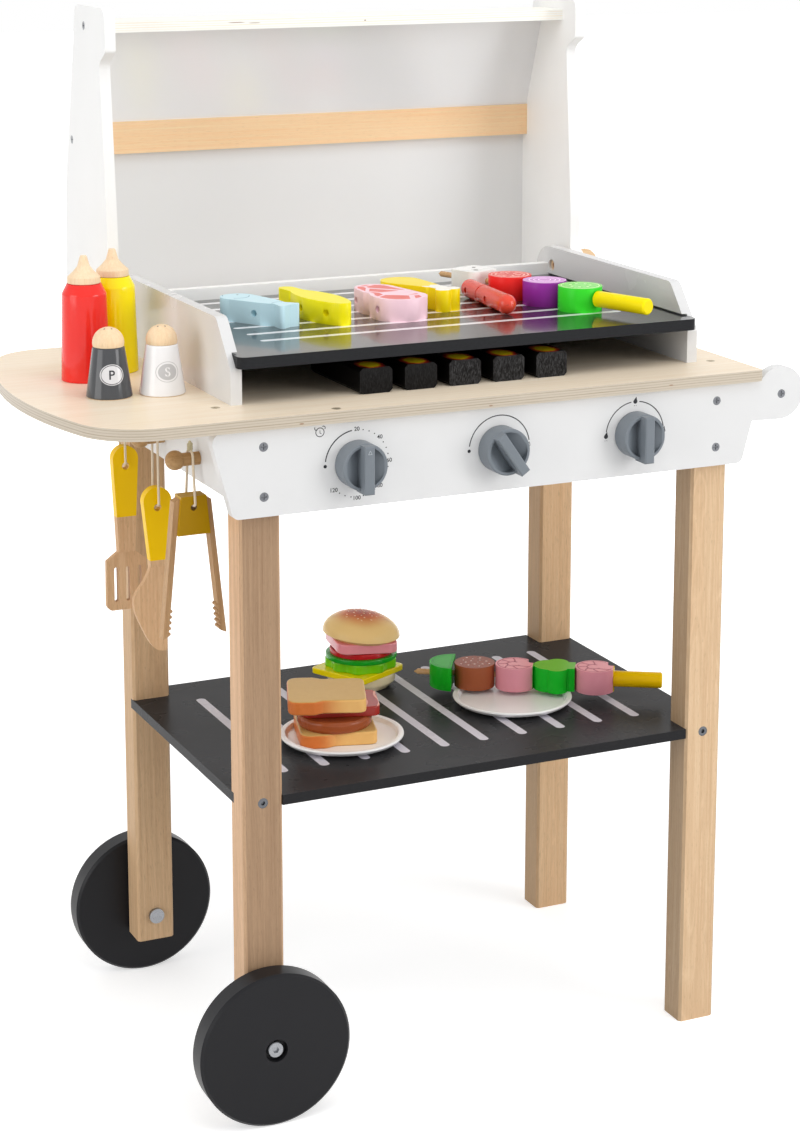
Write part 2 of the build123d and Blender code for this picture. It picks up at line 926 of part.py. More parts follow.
def sausage():
    # A turned piece with rounded ends and one cut round its middle.
    r, half = sausage_r, sausage_l / 2 - sausage_r
    points = [
        (0, -half),
        (r, -half),
        (r, -9.8),
        (r - 0.9, -9.8),
        (r - 0.9, -8.2),
        (r, -8.2),
        (r, half),
        (0, half),
    ]
    body = turned_x(points, (r, -half), (r, half))
    for at in (-32, 12):
        body -= Pos(at, 0, 0) * Rot(90, 0, 0) * Cylinder(skewer_hole_r - 0.3, 30)
    return Pos(0, 0, r + seat_gap) * on_grill(body, 69.5, 10.0, -95)


def stick_solids(length, handle_l):
    # The stick lies along x from its tip at 0, and its far end sits in the handle.
    bore = stick_r + bore_gap
    r = handle_food_r
    far = length + handle_l
    stick = turned_x([
        (0, 0),
        (stick_r, 3.5),
        (stick_r, length + 5.7),
        (0, length + 5.7),
    ])
    grip = turned_x([
        (bore, length),
        (r, length),
        (r, far - 1.2),
        (r - 1.2, far),
        (0, far),
        (0, length + 6.3),
        (bore, length + 6.3),
    ])
    return [stick, grip]


def threaded(face, at, low, high):
    # A piece of food on the stick, between two heights that count from the stick.
    body = Pos(at, 0, 0) * in_xy(face, low, high)
    return body - Pos(at, 0, 0) * Rot(0, 90, 0) * Cylinder(stick_r + bore_gap, 60)


def grill_skewer():
    low, high = -11.2, 8.8
    items = stick_solids(181.0, 53.0)
    square = RectangleRounded(31, 31, 7)
    items.append(threaded(square, 42.0, low, high))
    for at in (83.5, 122.5, 161.5):
        items.append(threaded(Circle(18), at, low, high))
    turn = math.degrees(math.atan2(-0.940, 0.34))
    return [Pos(75, 116, grill_z - low) * Rot(0, 0, turn) * s for s in items]


# Food on the shelf

def dish(x, y):
    r = dish_r
    points = [
        (0, 0),
        (r - 14, 0),
        (r, dish_h - 2),
        (r, dish_h),
        (r - 1.5, dish_h),
        (r - 5, dish_floor),
        (0, dish_floor),
    ]
    return Pos(x, y, shelf_z) * turned(points)


def rounded_square(w, d, r, z0, z1, turn):
    return Rot(0, 0, turn) * in_xy(RectangleRounded(w, d, r), z0, z1)


def lettuce(r, z0, z1):
    face = Circle(r - 1.5)
    for k in range(9):
        a = math.radians(40 * k)
        face = face + Pos((r - 7) * math.cos(a), (r - 7) * math.sin(a)) * Circle(8)
    return in_xy(face, z0, z1)


burger_layers = [13.0, 5.0, 8.0, 4.0, 4.5, 8.5]
bread_t = 11.0


def burger():
    z = [shelf_z]
    for t in burger_layers:
        z.append(z[-1] + t)
    base = turned([(0, z[0]), (24, z[0]), (29, z[0] + 7), (29, z[1]), (0, z[1])])
    cheese = Pos(-2, 0, 0) * rounded_square(57, 57, 5, z[1], z[2], 27)
    leaf = lettuce(30.5, z[2], z[3])
    ring = bar_z(0, 0, z[3], z[4], 30.5) - bar_z(0, 0, z[3], z[4], 24)
    tomato = turned([(0, z[3]), (23.8, z[3]), (23.8, z[4]), (27, z[4]), (27, z[5]), (0, z[5])])
    ham = rounded_square(53, 53, 11, z[5], z[6], -8)
    bun = turned([(0, z[6]), (28.5, z[6])] + dome(30.5, z[6] + 4, 17, 5))
    spot = Pos(-17, 74, 0)
    return [spot * s for s in (base, cheese, leaf, ring, tomato, ham, bun)]


def bread(z0):
    face = RectangleRounded(60, 55, 7) + Pos(-20, 0) * RectangleRounded(24, 63, 10)
    return in_xy(face, z0, z0 + bread_t)


sandwich_x, sandwich_y = -87.0, -46.0


def sandwich():
    z0 = shelf_z + dish_floor
    z1 = z0 + bread_t
    z2 = z1 + 9
    z3 = z2 + 7
    spot = Pos(sandwich_x - 4, sandwich_y, 0)
    lower = Pos(4, 3, 0) * Rot(0, 0, -16) * bread(z0)
    patty = bar_z(2, 2, z1, z2, 30)
    ham = Pos(8, 6, 0) * rounded_square(62, 44, 8, z2, z3, -18)
    upper = Rot(0, 0, -21) * bread(z3)
    return [spot * s for s in (lower, patty, ham, upper)]


def shrimp():
    return Circle(16.5) - Pos(15, 9) * Circle(5.5)


def pepper_piece():
    lobes = Pos(-5, 0) * Circle(13) + Pos(2, 8) * Circle(9) + Pos(2, -8) * Circle(9)
    return lobes + Pos(8, 0) * Rectangle(18, 18)


def shelf_skewer():
    low, high = -10.0, 10.0
    items = stick_solids(168.5, 41.0)
    half_pepper = Circle(20) & Pos(-20, 0) * Rectangle(40, 60)
    items.append(threaded(half_pepper, 33.5, low, high))
    items.append(threaded(Circle(17), 51.7, low, high))
    items.append(threaded(shrimp(), 85.8, low, high))
    items.append(threaded(pepper_piece(), 119.5, low, high))
    items.append(threaded(shrimp(), 153.0, low, high))
    turn = math.degrees(math.atan2(-0.521, 0.853))
    rest = shelf_z + dish_h - low
    return [Pos(17, 41, rest) * Rot(0, 0, turn) * s for s in items]


os.makedirs("parts", exist_ok=True)

save(panel(-1), "front_panel")
save(panel(1), "rear_panel")
save(push_handle(), "push_handle")
save(end_board(-1), "end_board_left")
save(end_board(1), "end_board_right")
save(tabletop(), "tabletop")
save(leg(-1, -1), "leg_front_left")
save(leg(1, -1), "leg_front_right")
save(leg(-1, 1), "leg_rear_left")
save(leg(1, 1), "leg_rear_right")
save(shelf(), "shelf")
save(riser_side(-1), "riser_side_left")
save(riser_side(1), "riser_side_right")
save(riser_back(), "riser_back")
save(grill_plate(), "grill_plate")
save(utensil_pegs(), "utensil_pegs")
save(wood_screws(), "wood_screws")
save(shelf_bolts(), "shelf_bolts")
save([wheel_bolt(-1), wheel_bolt(1)], "wheel_bolts")
save(lid_pivot_pins(), "lid_pivot_pins")
save(knob_spindles(), "knob_spindles")
save(lid_side(-1), "lid_side_left")
save(lid_side(1), "lid_side_right")
save(lid_top_slat(), "lid_top_slat")
save(lid_mid_rail(), "lid_mid_rail")
save(lid_upper_sheet(), "lid_upper_sheet")
save(lid_lower_sheet(), "lid_lower_sheet")
save(lid_screws(), "lid_screws")
save(wheel(-1), "wheel_front")
save(wheel(1), "wheel_rear")
save(knob_at(-knob_x, 0), "knob_timer")
save(knob_at(0, -35), "knob_heat")
save(knob_at(knob_x, 0), "knob_burner")
save(spatula(), "spatula")
save(knife(), "knife")
save(tongs_block(), "tongs_block")
save(tongs_arms(), "tongs_arms")
save(cord(peg_pitch, spatula_hole_z, hole_r, utensil_t / 2), "spatula_cord")
save(cord(0, knife_hole_z, hole_r, utensil_t / 2), "knife_cord")
save(cord(-peg_pitch, tongs_hole_z, hole_r - 0.5, tongs_block_d / 2), "tongs_cord")
save(bottle(-half_w - 59, 35), "red_bottle")
save(bottle(-half_w - 28, 59), "yellow_bottle")
save(shaker(-half_w - 62.5, -33), "pepper_shaker")
save(shaker(-half_w - 22.4, -39), "salt_shaker")
for k in range(5):
    save(charcoal(k), "charcoal_" + str(k + 1))
save(fish(), "fish")
save(corn(), "corn")
save(steak(), "steak")
save(drumstick(), "drumstick")
save(sausage(), "sausage")
save(grill_skewer(), "grill_skewer")
save(burger(), "burger")
save(dish(sandwich_x, sandwich_y), "sandwich_plate")
save(sandwich(), "sandwich")
save(dish(79, -21), "skewer_plate")
save(shelf_skewer(), "shelf_skewer")
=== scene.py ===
import bpy
import bmesh
import math
import random
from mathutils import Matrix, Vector


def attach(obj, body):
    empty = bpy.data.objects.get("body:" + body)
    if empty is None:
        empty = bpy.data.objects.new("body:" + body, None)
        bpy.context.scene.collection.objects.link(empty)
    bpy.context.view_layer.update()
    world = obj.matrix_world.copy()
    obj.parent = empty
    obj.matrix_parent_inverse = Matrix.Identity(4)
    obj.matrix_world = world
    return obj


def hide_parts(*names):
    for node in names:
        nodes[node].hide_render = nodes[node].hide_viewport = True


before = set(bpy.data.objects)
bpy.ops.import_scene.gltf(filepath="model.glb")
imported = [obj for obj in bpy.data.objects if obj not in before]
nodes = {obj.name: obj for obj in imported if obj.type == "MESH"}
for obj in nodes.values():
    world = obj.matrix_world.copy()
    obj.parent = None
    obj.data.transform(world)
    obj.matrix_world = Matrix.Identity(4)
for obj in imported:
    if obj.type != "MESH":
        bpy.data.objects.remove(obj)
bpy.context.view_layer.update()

MM = 0.001

# Sizes in mm: those that the pieces here share with the frame, and the thickness of a print

table_z = 550.0
shelf_z = 255.0
plate_z = 587.0
panel_y = -149.0
knob_z = 508.0
knob_x = 118.0
knob_face_y = -173.4
peg_z = 507.0
peg_pitch = 80.0
peg_neck_r = 5.0
hang_x = -224.0
cord_r = 1.0
seat_gap = 0.3
food_t = 18.0
print_t = 0.12

# Where the loose pieces lie, as x, y in mm, and how far they are turned, in degrees

fish_spot, fish_turn = (-128, 19), -66
steak_spot, steak_turn = (-20, 12), -85
drumstick_spot, drumstick_turn = (20, 38), -72
burger_spot = (-17, 74)
sandwich_spot = (-94, -45)

food_top = plate_z + food_t

# Each skewer: the tip of its stick, its turn in degrees, and the height of its items' tops

grill_tip = (75.0, 116.0, plate_z + 11.2)
grill_turn = math.degrees(math.atan2(-0.940, 0.34))
grill_item_top = plate_z + 20.0
shelf_tip = (17.0, 41.0, shelf_z + 17.0)
shelf_turn = math.degrees(math.atan2(-0.521, 0.853))
shelf_item_top = shelf_z + 27.0


# Camera, at the photograph's place

photo_h = 1138
sensor = 36.0
camera_place = (-0.8462, -1.8121, 0.9450)
camera_yaw = -24.65
camera_pitch = 11.19
camera_focal_px = 2521.3
camera_rise_px = 209.0


def new_object(name, data):
    obj = bpy.data.objects.new(name, data)
    bpy.context.scene.collection.objects.link(obj)
    return obj


def make_camera():
    data = bpy.data.cameras.new("camera")
    data.sensor_width = sensor
    data.lens = camera_focal_px / photo_h * sensor
    data.shift_y = -camera_rise_px / photo_h
    camera = new_object("camera", data)
    camera.location = camera_place
    camera.rotation_euler = (math.radians(90 - camera_pitch), 0, math.radians(camera_yaw))
    bpy.context.scene.camera = camera


# Shader values

class Signal:
    # One output of a shader node. Arithmetic on it makes Math nodes.
    def __init__(self, socket):
        self.socket = socket

    def __add__(self, other):
        return number("ADD", self, other)

    def __sub__(self, other):
        return number("SUBTRACT", self, other)

    def __rsub__(self, other):
        return number("SUBTRACT", other, self)

    def __mul__(self, other):
        return number("MULTIPLY", self, other)

    def __truediv__(self, other):
        return number("DIVIDE", self, other)

    def __abs__(self):
        return number("ABSOLUTE", self)


def plug(socket, value):
    if isinstance(value, Signal):
        socket.id_data.links.new(value.socket, socket)
    else:
        socket.default_value = value


def source(tree, kind, out):
    return Signal(tree.nodes.new("ShaderNode" + kind).outputs[out])


def compute(kind, inputs, out=0, **settings):
    # A new node in the tree of its inputs, which are signals or constants.
    tree = next(value.socket.id_data for value in inputs.values() if isinstance(value, Signal))
    node = tree.nodes.new("ShaderNode" + kind)
    for name, value in settings.items():
        setattr(node, name, value)
    for key, value in inputs.items():
        plug(node.inputs[key], value)
    return Signal(node.outputs[out])


def number(operation, a, b=0.0):
    return compute("Math", {0: a, 1: b}, operation=operation)


def vector(operation, a, b=(0, 0, 0), out=0):
    return compute("VectorMath", {0: a, 1: b}, out, operation=operation)


def blend(factor, a, b, way="MIX"):
    return compute("Mix", {0: factor, 6: a, 7: b}, 2, data_type="RGBA", blend_type=way)


def steps(value, low, high):
    # 0 below low, 1 above high, and smooth between them.
    inputs = {"Value": value, "From Min": low, "From Max": high}
    return compute("MapRange", inputs, interpolation_type="SMOOTHSTEP")


def below(value, edge, soft):
    # 1 where the value is under the edge, 0 where it is over it.
    return 1.0 - steps(value, edge - soft, edge + soft)


def spread(value, low, high):
    return compute("MapRange", {"Value": value, "To Min": low, "To Max": high})


def split(value):
    x = compute("SeparateXYZ", {"Vector": value})
    outputs = x.socket.node.outputs
    return x, Signal(outputs[1]), Signal(outputs[2])


def joined(x, y, z=0.0):
    return compute("CombineXYZ", {"X": x, "Y": y, "Z": z})


def length_of(x, y):
    return vector("LENGTH", joined(x, y), out=1)


def stretched(place, scale, offset=(0, 0, 0)):
    return compute("Mapping", {"Vector": place, "Scale": scale, "Location": offset})


def noise(place, scale, detail=2.0, roughness=0.5, distortion=0.0):
    # scale counts waves per mm.
    inputs = {"Vector": place, "Scale": scale, "Detail": detail}
    return compute("TexNoise", {**inputs, "Roughness": roughness, "Distortion": distortion})


class Skin:
    # A new material, and the place on its surface in mm, at rest and fixed to the body.
    def __init__(self, name):
        self.material = bpy.data.materials.new(name)
        self.material.use_nodes = True
        self.tree = self.material.node_tree
        self.shader = self.tree.nodes["Principled BSDF"]
        self.place = vector("MULTIPLY", source(self.tree, "TexCoord", "Object"), (1000, 1000, 1000))
        self.x, self.y, self.z = split(self.place)

    def local(self, spot, turn=0.0):
        # x and y as the piece sees them, before it was turned and set down at its spot.
        inputs = {"Vector": vector("SUBTRACT", self.place, (*spot, 0)), "Angle": -math.radians(turn)}
        return split(compute("VectorRotate", inputs, rotation_type="Z_AXIS"))[:2]

    def facing(self, axis):
        # The part of the surface's direction along one axis of the frame.
        return split(source(self.tree, "TexCoord", "Normal"))["xyz".index(axis)]

    def noise(self, scale, *more):
        return noise(self.place, scale, *more)

    def wear(self, tone, rough, **inputs):
        # Sets the shader's inputs and gives the material back.
        inputs.update(Base_Color=tone, Roughness=rough)
        for name, value in inputs.items():
            plug(self.shader.inputs[name.replace("_", " ")], value)
        return self.material


def bump(height, distance):
    # Bumps as deep as the distance, in mm.
    return compute("Bump", {"Height": height, "Distance": distance * MM, "Strength": 1.0})


def rgb(r, g, b):
    # A colour given in 0 to 255.
    out = []
    for v in (r, g, b):
        c = v / 255
        out.append(c / 12.92 if c <= 0.04045 else ((c + 0.055) / 1.055) ** 2.4)
    return (*out, 1.0)


def shade(colour, factor):
    return (colour[0] * factor, colour[1] * factor, colour[2] * factor, 1.0)


# Materials

def paint_tone(place, colour, mottle=0.03):
    # Slightly clouded paint with a few darker specks.
    cloud = noise(place, 0.018, 3.0)
    tone = blend(cloud, shade(colour, 1 - mottle), shade(colour, 1 + mottle))
    speck = steps(noise(place, 0.42, 2.0), 0.70, 0.78)
    return blend(speck * 0.08, tone, shade(colour, 0.8))


def finish(skin, tone, rough, coat=0.0, peel=0.03, shine=0.2):
    # The uneven sheen and fine bumps that every painted surface has.
    cloud = skin.noise(0.03, 3.0)
    return skin.wear(tone, spread(cloud, rough - 0.05, rough + 0.05), Specular_IOR_Level=shine,
                     Coat_Weight=coat, Coat_Roughness=0.06, Normal=bump(skin.noise(0.7, 1.0), peel))


def paint(name, colour, rough=0.4, coat=0.0, mottle=0.03, peel=0.03):
    skin = Skin(name)
    return finish(skin, paint_tone(skin.place, colour, mottle), rough, coat, peel)


def striped(name, colour, stripe, bars_of, rough, coat, shine):
    # A painted board with printed bars on its upper face, and painted shade that darkens its side faces.
    skin = Skin(name)
    up = steps(skin.facing("z"), 0.5, 0.8)
    fibre = noise(stretched(skin.place, (0.25, 0.25, 2.2)), 1.0, 3.0, 0.7)
    # Painted shade: the side faces are darker, down to 0.4 of the paint's colour, and streaked.
    edge = blend(fibre, shade(colour, 0.4), shade(colour, 1.0))
    tone = blend(up, edge, paint_tone(skin.place, colour, 0.05))
    tone = blend(bars_of(skin) * up, tone, stripe)
    return finish(skin, tone, rough, spread(up, 0.0, coat), 0.01, spread(up, 0.06, shine))


def wood_tone(place, axis, light, dark, bands=0.25, flecks=0.3, seed=0.0):
    # Beech: soft growth bands, fine streaks, short dark flecks and pores along the grain.
    def grain(along, across):
        scale = [along if name == axis else across for name in "xyz"]
        return stretched(place, scale, (seed * 17.0, seed * 9.0, seed * 13.0))

    broad = noise(grain(0.0022, 0.03), 1.0, 2.0, 0.5, 1.4)
    wave = spread(abs(number("SINE", broad * 60.0)), 0.0, 1.0)
    streak = noise(grain(0.006, 0.55), 1.0, 3.0, 0.6)
    tone = blend(broad, light, dark)
    tone = blend(wave * bands, tone, shade(dark, 0.9))
    tone = blend(0.5, tone, streak, "SOFT_LIGHT")
    fleck = steps(noise(grain(0.16, 1.9), 1.0, 1.0), 0.62, 0.72)
    tone = blend(fleck * flecks, tone, shade(dark, 0.62))
    pores = noise(grain(0.12, 3.2), 1.0, 2.0)
    return blend(0.3, tone, pores, "SOFT_LIGHT"), pores, fleck


def wood(name, axis, light, dark, bands=0.25, flecks=0.3, rough=0.5, seed=0.0, side=1.0):
    # Painted light and shade: side makes the faces across x lighter or darker than the rest.
    skin = Skin(name)
    tone, pores, fleck = wood_tone(skin.place, axis, light, dark, bands, flecks, seed)
    across = steps(abs(skin.facing("x")), 0.6, 0.8)
    # Painted light where side is over 1, painted shade where it is under 1.
    tone = blend(across, tone, vector("MULTIPLY", tone, (side, side, side)))
    return skin.wear(tone, spread(pores, rough - 0.06, rough + 0.1), Specular_IOR_Level=0.25,
                     Normal=bump(pores + fleck * -0.6, 0.05))


# The plies' dark lines on an edge, as the part of the thickness and the strength of each
ply_lines = ((0.18, 0.5), (0.40, 0.9), (0.62, 0.5), (0.84, 0.8))
ply_t = 9.0


def plywood(name, low, light, dark, ply_dark, edge_shade, marks):
    # Pale veneer on the faces; on the edges soft lines, a few brown marks, and a darker tone that is partly
    # the plies' own and partly painted shade.
    skin = Skin(name)
    face, pores, _ = wood_tone(skin.place, "x", light, dark, 0.16, 0.12, 3.0)
    along = noise(stretched(skin.place, (0.02, 0.02, 0.6)), 1.0, 2.0)
    depth = (skin.z - low) / ply_t + (along - 0.5) * 0.12
    fibres = noise(stretched(skin.place, (0.35, 0.35, 2.5)), 1.0, 2.0)
    # edge_shade darkens the edges: partly the plies' own tone, partly painted shade.
    edge = blend(fibres, shade(light, 0.92 * edge_shade), shade(light, 1.08 * edge_shade))
    for at, strength in ply_lines:
        ply = below(abs(depth - at), 0.03, 0.03) * strength * spread(along, 0.4, 1.2)
        edge = blend(ply, edge, ply_dark)
    for at, up, half, tall in marks:
        off = length_of((skin.x - at) / half, (skin.z - up) / tall)
        edge = blend(below(off, 1.0, 0.3) * 0.8, edge, rgb(150, 110, 78))
    flat = steps(abs(skin.facing("z")), 0.55, 0.65)
    return skin.wear(blend(flat, edge, face), 0.42, Normal=bump(pores, 0.03))


def satin_sheet(name, colour, metallic, rough, lean):
    # Thin silver sheet: brushed a little along x, with a soft hazy sheen, and painted light that makes it
    # lighter to the left.
    skin = Skin(name)
    brushed = noise(stretched(skin.place, (0.012, 0.9, 0.9)), 1.0, 2.0)
    cloud = skin.noise(0.009, 2.0)
    tone = blend(cloud, shade(colour, 0.98), shade(colour, 1.02))
    # Painted light: lean darkens the colour towards the right.
    painted_light_gain = spread(steps(skin.x, -200.0, 120.0), 1.0, 1.0 - lean)
    tone = vector("MULTIPLY", tone, joined(painted_light_gain, painted_light_gain, painted_light_gain))
    return skin.wear(tone, spread(brushed, rough - 0.04, rough + 0.05), Metallic=metallic,
                     Normal=bump(brushed, 0.004))


def metal(name, colour, rough=0.3):
    skin = Skin(name)
    cloud = skin.noise(0.26, 3.0)
    tone = blend(cloud, shade(colour, 0.8), shade(colour, 1.15))
    return skin.wear(tone, spread(cloud, rough - 0.08, rough + 0.12), Metallic=1.0,
                     Normal=bump(skin.noise(0.9, 1.0), 0.03))


def screw_metal():
    # Dark heads on the boards, and pale ones sunk in the tabletop.
    skin = Skin("dark_steel")
    cloud = skin.noise(0.26, 3.0)
    up = steps(skin.z, table_z - 0.8, table_z - 0.6)
    tone = blend(up, rgb(112, 114, 118), rgb(204, 190, 164))
    tone = blend(0.3, tone, cloud, "SOFT_LIGHT")
    return skin.wear(tone, spread(cloud, 0.3, 0.5), Metallic=0.8, Normal=bump(skin.noise(0.9, 1.0), 0.03))


def knob_plastic():
    # Moulded plastic with a fine spark-eroded texture.
    skin = Skin("knob_plastic")
    colour = rgb(118, 125, 132)
    grit = skin.noise(2.6, 1.0)
    tone = blend(skin.noise(0.04, 3.0), shade(colour, 0.94), shade(colour, 1.06))
    return skin.wear(tone, spread(grit, 0.37, 0.5), Specular_IOR_Level=0.35, Normal=bump(grit, 0.03))


def cotton(name, colour):
    skin = Skin(name)
    fibre = skin.noise(2.4, 3.0, 0.7)
    tone = blend(fibre, shade(colour, 0.72), shade(colour, 1.08))
    return skin.wear(tone, 0.9, Sheen_Weight=0.3, Normal=bump(fibre, 0.12))


def handle_and_wood(name, height, seed):
    # Bare wood below, and a painted handle with a sharp edge above.
    skin = Skin(name)
    bare, pores, _ = wood_tone(skin.place, "z", rgb(228, 190, 150), rgb(206, 164, 122), 0.25, 0.4, seed)
    yellow = paint_tone(skin.place, rgb(252, 206, 0))
    mask = steps(skin.z, height - 0.1, height + 0.1)
    return skin.wear(blend(mask, bare, yellow), spread(mask, 0.52, 0.34), Specular_IOR_Level=0.15,
                     Normal=bump(pores, 0.04))


# Finishes of the CAD parts

beech_pale = rgb(232, 202, 166)
beech_mid = rgb(214, 178, 138)
beech_deep = rgb(186, 152, 120)
birch_light = rgb(248, 234, 213)
birch_dark = rgb(240, 221, 194)


def bevel(obj, width, parts, angle):
    edge = obj.modifiers.new("edge", "BEVEL")
    edge.width = width * MM
    edge.segments = parts
    edge.limit_method = "ANGLE"
    edge.angle_limit = math.radians(angle)


def dress(material, *names, width=0.0):
    # Gives CAD parts their finish; a width rounds their edges, which gives them their light lines.
    for name in names:
        obj = nodes[name]
        obj.data.materials.clear()
        obj.data.materials.append(material)
        if width:
            weld = obj.modifiers.new("weld", "WELD")
            weld.merge_threshold = 0.00001
            bevel(obj, width, 2, 38)


def bars(along, across, half_length, first, pitch, half_width):
    # 1 on bars with round ends, which repeat at every pitch across the board.
    past = number("MAXIMUM", abs(along) - half_length, 0.0)
    off = number("PINGPONG", across - first, pitch / 2)
    return below(length_of(past, off), half_width, 0.15)


def plate_bars(skin):
    # Seven white bars along x, and none in front of y -66.
    rows = bars(skin.x, skin.y, half_length=153.5, first=-55.4, pitch=28.6, half_width=3.3)
    return rows * steps(skin.y, -66.0, -65.0)


def shelf_bars(skin):
    # Ten pale bars along y, and none past x 164 on either side.
    rows = bars(skin.y - 0.5, skin.x, half_length=91.5, first=-155.9, pitch=34.64, half_width=4.0)
    return rows * below(abs(skin.x), 164.0, 1.0)


def finish_painted():
    white = paint("white_paint", rgb(228, 228, 228), 0.36)
    dress(white, "front_panel", "rear_panel", "end_board_left", "end_board_right")
    # A brighter copy of the white paint, which paints light on the lid's sides and the riser's back board.
    lit_white = paint("lit_white_paint", rgb(248, 248, 247), 0.42)
    dress(lit_white, "lid_side_left", "lid_side_right", "riser_back")
    dress(paint("riser_paint", rgb(222, 222, 222), 0.26, 0.2), "riser_side_left", "riser_side_right")
    plate_dark, plate_white = rgb(50, 51, 54), rgb(250, 250, 252)
    dress(striped("plate_paint", plate_dark, plate_white, plate_bars, 0.16, 0.35, 0.55), "grill_plate")
    shelf_dark, shelf_pale = rgb(52, 52, 54), rgb(212, 209, 218)
    dress(striped("shelf_paint", shelf_dark, shelf_pale, shelf_bars, 0.28, 0.0, 0.04), "shelf")
    dress(paint("wheel_paint", rgb(29, 29, 32), 0.36, 0.0, 0.1), "wheel_front", "wheel_rear")
    dress(knob_plastic(), "knob_timer", "knob_heat", "knob_burner")


# The legs: name, light and dark tone, seed of the grain, and the gain of the faces across x, which paints
# light and shade on them; the darker tones of the front-left leg are partly painted shade
legs = (
    ("leg_front_left", shade(beech_deep, 0.92), shade(beech_deep, 0.76), 1, 1.75),
    ("leg_front_right", beech_pale, beech_mid, 2, 0.62),
    ("leg_rear_left", beech_mid, shade(beech_mid, 0.84), 3, 1.05),
    ("leg_rear_right", shade(beech_mid, 1.16), beech_mid, 4, 0.78),
)

# Brown marks on the plywood's front edges: x, z, half the width and half the height
table_marks = ((-164.0, 543.2, 1.8, 0.6), (-10.0, 542.8, 1.6, 0.6), (147.0, 545.0, 1.8, 0.5))
slat_marks = ((-96.0, 814.6, 7.0, 0.35), (-80.0, 813.9, 5.0, 0.3), (20.0, 813.5, 0.9, 0.5))
table_low = 541.0
slat_low = 809.0


def finish_woods():
    for name, light, dark, seed, side in legs:
        dress(wood("beech_" + name, "z", light, dark, 0.42, 0.4, seed=seed, side=side), name)
    dress(wood("beech_handle", "y", beech_mid, shade(beech_mid, 0.9), seed=6), "push_handle")
    rail = wood("beech_rail", "x", rgb(255, 222, 178), rgb(250, 206, 158), 0.14, 0.25, seed=7)
    dress(rail, "lid_mid_rail")
    ply_brown, ply_cream = rgb(150, 128, 98), rgb(244, 226, 194)
    table = plywood("birch_table", table_low, birch_light, birch_dark, ply_brown, 0.62, table_marks)
    dress(table, "tabletop")
    slat_light, slat_dark = rgb(255, 254, 248), rgb(255, 250, 238)
    slat = plywood("birch_slat", slat_low, slat_light, slat_dark, ply_cream, 0.95, slat_marks)
    dress(slat, "lid_top_slat")
    pegs = wood("peg_wood", "x", rgb(196, 160, 112), rgb(172, 132, 86), 0.3, 0.4, 0.45, 8)
    dress(pegs, "utensil_pegs")
    dress(wood("pin_wood", "x", rgb(236, 204, 164), rgb(216, 180, 138), seed=9), "lid_pivot_pins")


def finish_metals():
    # The upper sheet's last number paints light on it, lighter to the left.
    dress(satin_sheet("upper_sheet", rgb(254, 254, 255), 0.04, 0.16, 0.12), "lid_upper_sheet")
    dress(satin_sheet("lower_sheet", rgb(232, 232, 232), 0.05, 0.42, 0.0), "lid_lower_sheet")
    steel = metal("steel", rgb(158, 160, 164), 0.26)
    dress(steel, "knob_spindles", "lid_screws", "wheel_bolts")
    dress(metal("bolt_steel", rgb(104, 106, 110), 0.3), "shelf_bolts")
    dress(screw_metal(), "wood_screws")


spatula_paint_z = 425.0
knife_paint_z = 409.0


def finish_utensils():
    dress(handle_and_wood("spatula_finish", spatula_paint_z, 12), "spatula")
    dress(handle_and_wood("knife_finish", knife_paint_z, 13), "knife")
    dress(paint("tongs_block_paint", rgb(188, 146, 0), 0.36), "tongs_block")
    dress(wood("tongs_wood", "z", rgb(206, 168, 126), rgb(180, 140, 98), seed=11), "tongs_arms")


# Outlines and shapes: a shape is a list of points and a list of faces

def bend(start, corner, end, parts):
    # A smooth bend from start to end, drawn towards the corner.
    out = []
    for j in range(parts + 1):
        t = j / parts
        at = start * (1 - t) ** 2 + corner * 2 * t * (1 - t) + end * t ** 2
        out.append((at.x, at.y))
    return out


def rounded(corners, parts=5):
    # An outline or a profile from corners (x, y, radius). A bend takes the place of each round corner.
    out = []
    for k, (x, y, r) in enumerate(corners):
        if r == 0:
            out.append((x, y))
            continue
        here = Vector((x, y))
        back = Vector(corners[k - 1][:2]) - here
        ahead = Vector(corners[(k + 1) % len(corners)][:2]) - here
        reach = min(r / math.tan(back.angle(ahead) / 2), 0.48 * back.length, 0.48 * ahead.length)
        out += bend(here + back.normalized() * reach, here, here + ahead.normalized() * reach, parts)
    return out


def polar(r, degrees, x=0.0, y=0.0):
    a = math.radians(degrees)
    return x + r * math.cos(a), y + r * math.sin(a)


def arc(u, v, r, start, end, parts=24):
    return [polar(r, start + (end - start) * k / parts, u, v) for k in range(parts + 1)]


def ring(u, v, r, parts=16):
    return arc(u, v, r, 0, 360 * (parts - 1) / parts, parts - 1)


def closed(path):
    return path + [path[0]]


def turned(u, v, degrees):
    a = math.radians(degrees)
    return u * math.cos(a) - v * math.sin(a), u * math.sin(a) + v * math.cos(a)


def square(half_x, half_y, r):
    return rounded([(half_x, -half_y, r), (half_x, half_y, r), (-half_x, half_y, r), (-half_x, -half_y, r)])


def band(first, count):
    # The faces between a ring of points and the next ring.
    faces = []
    for k in range(count):
        a, b = first + k, first + (k + 1) % count
        faces.append((a, b, b + count, a + count))
    return faces


def tube(rings):
    # A solid through rings of points, closed at both ends.
    count = len(rings[0])
    points = sum(rings, [])
    last = len(points) - count
    faces = [tuple(reversed(range(count))), tuple(range(last, last + count))]
    for first in range(0, last, count):
        faces += band(first, count)
    return points, faces


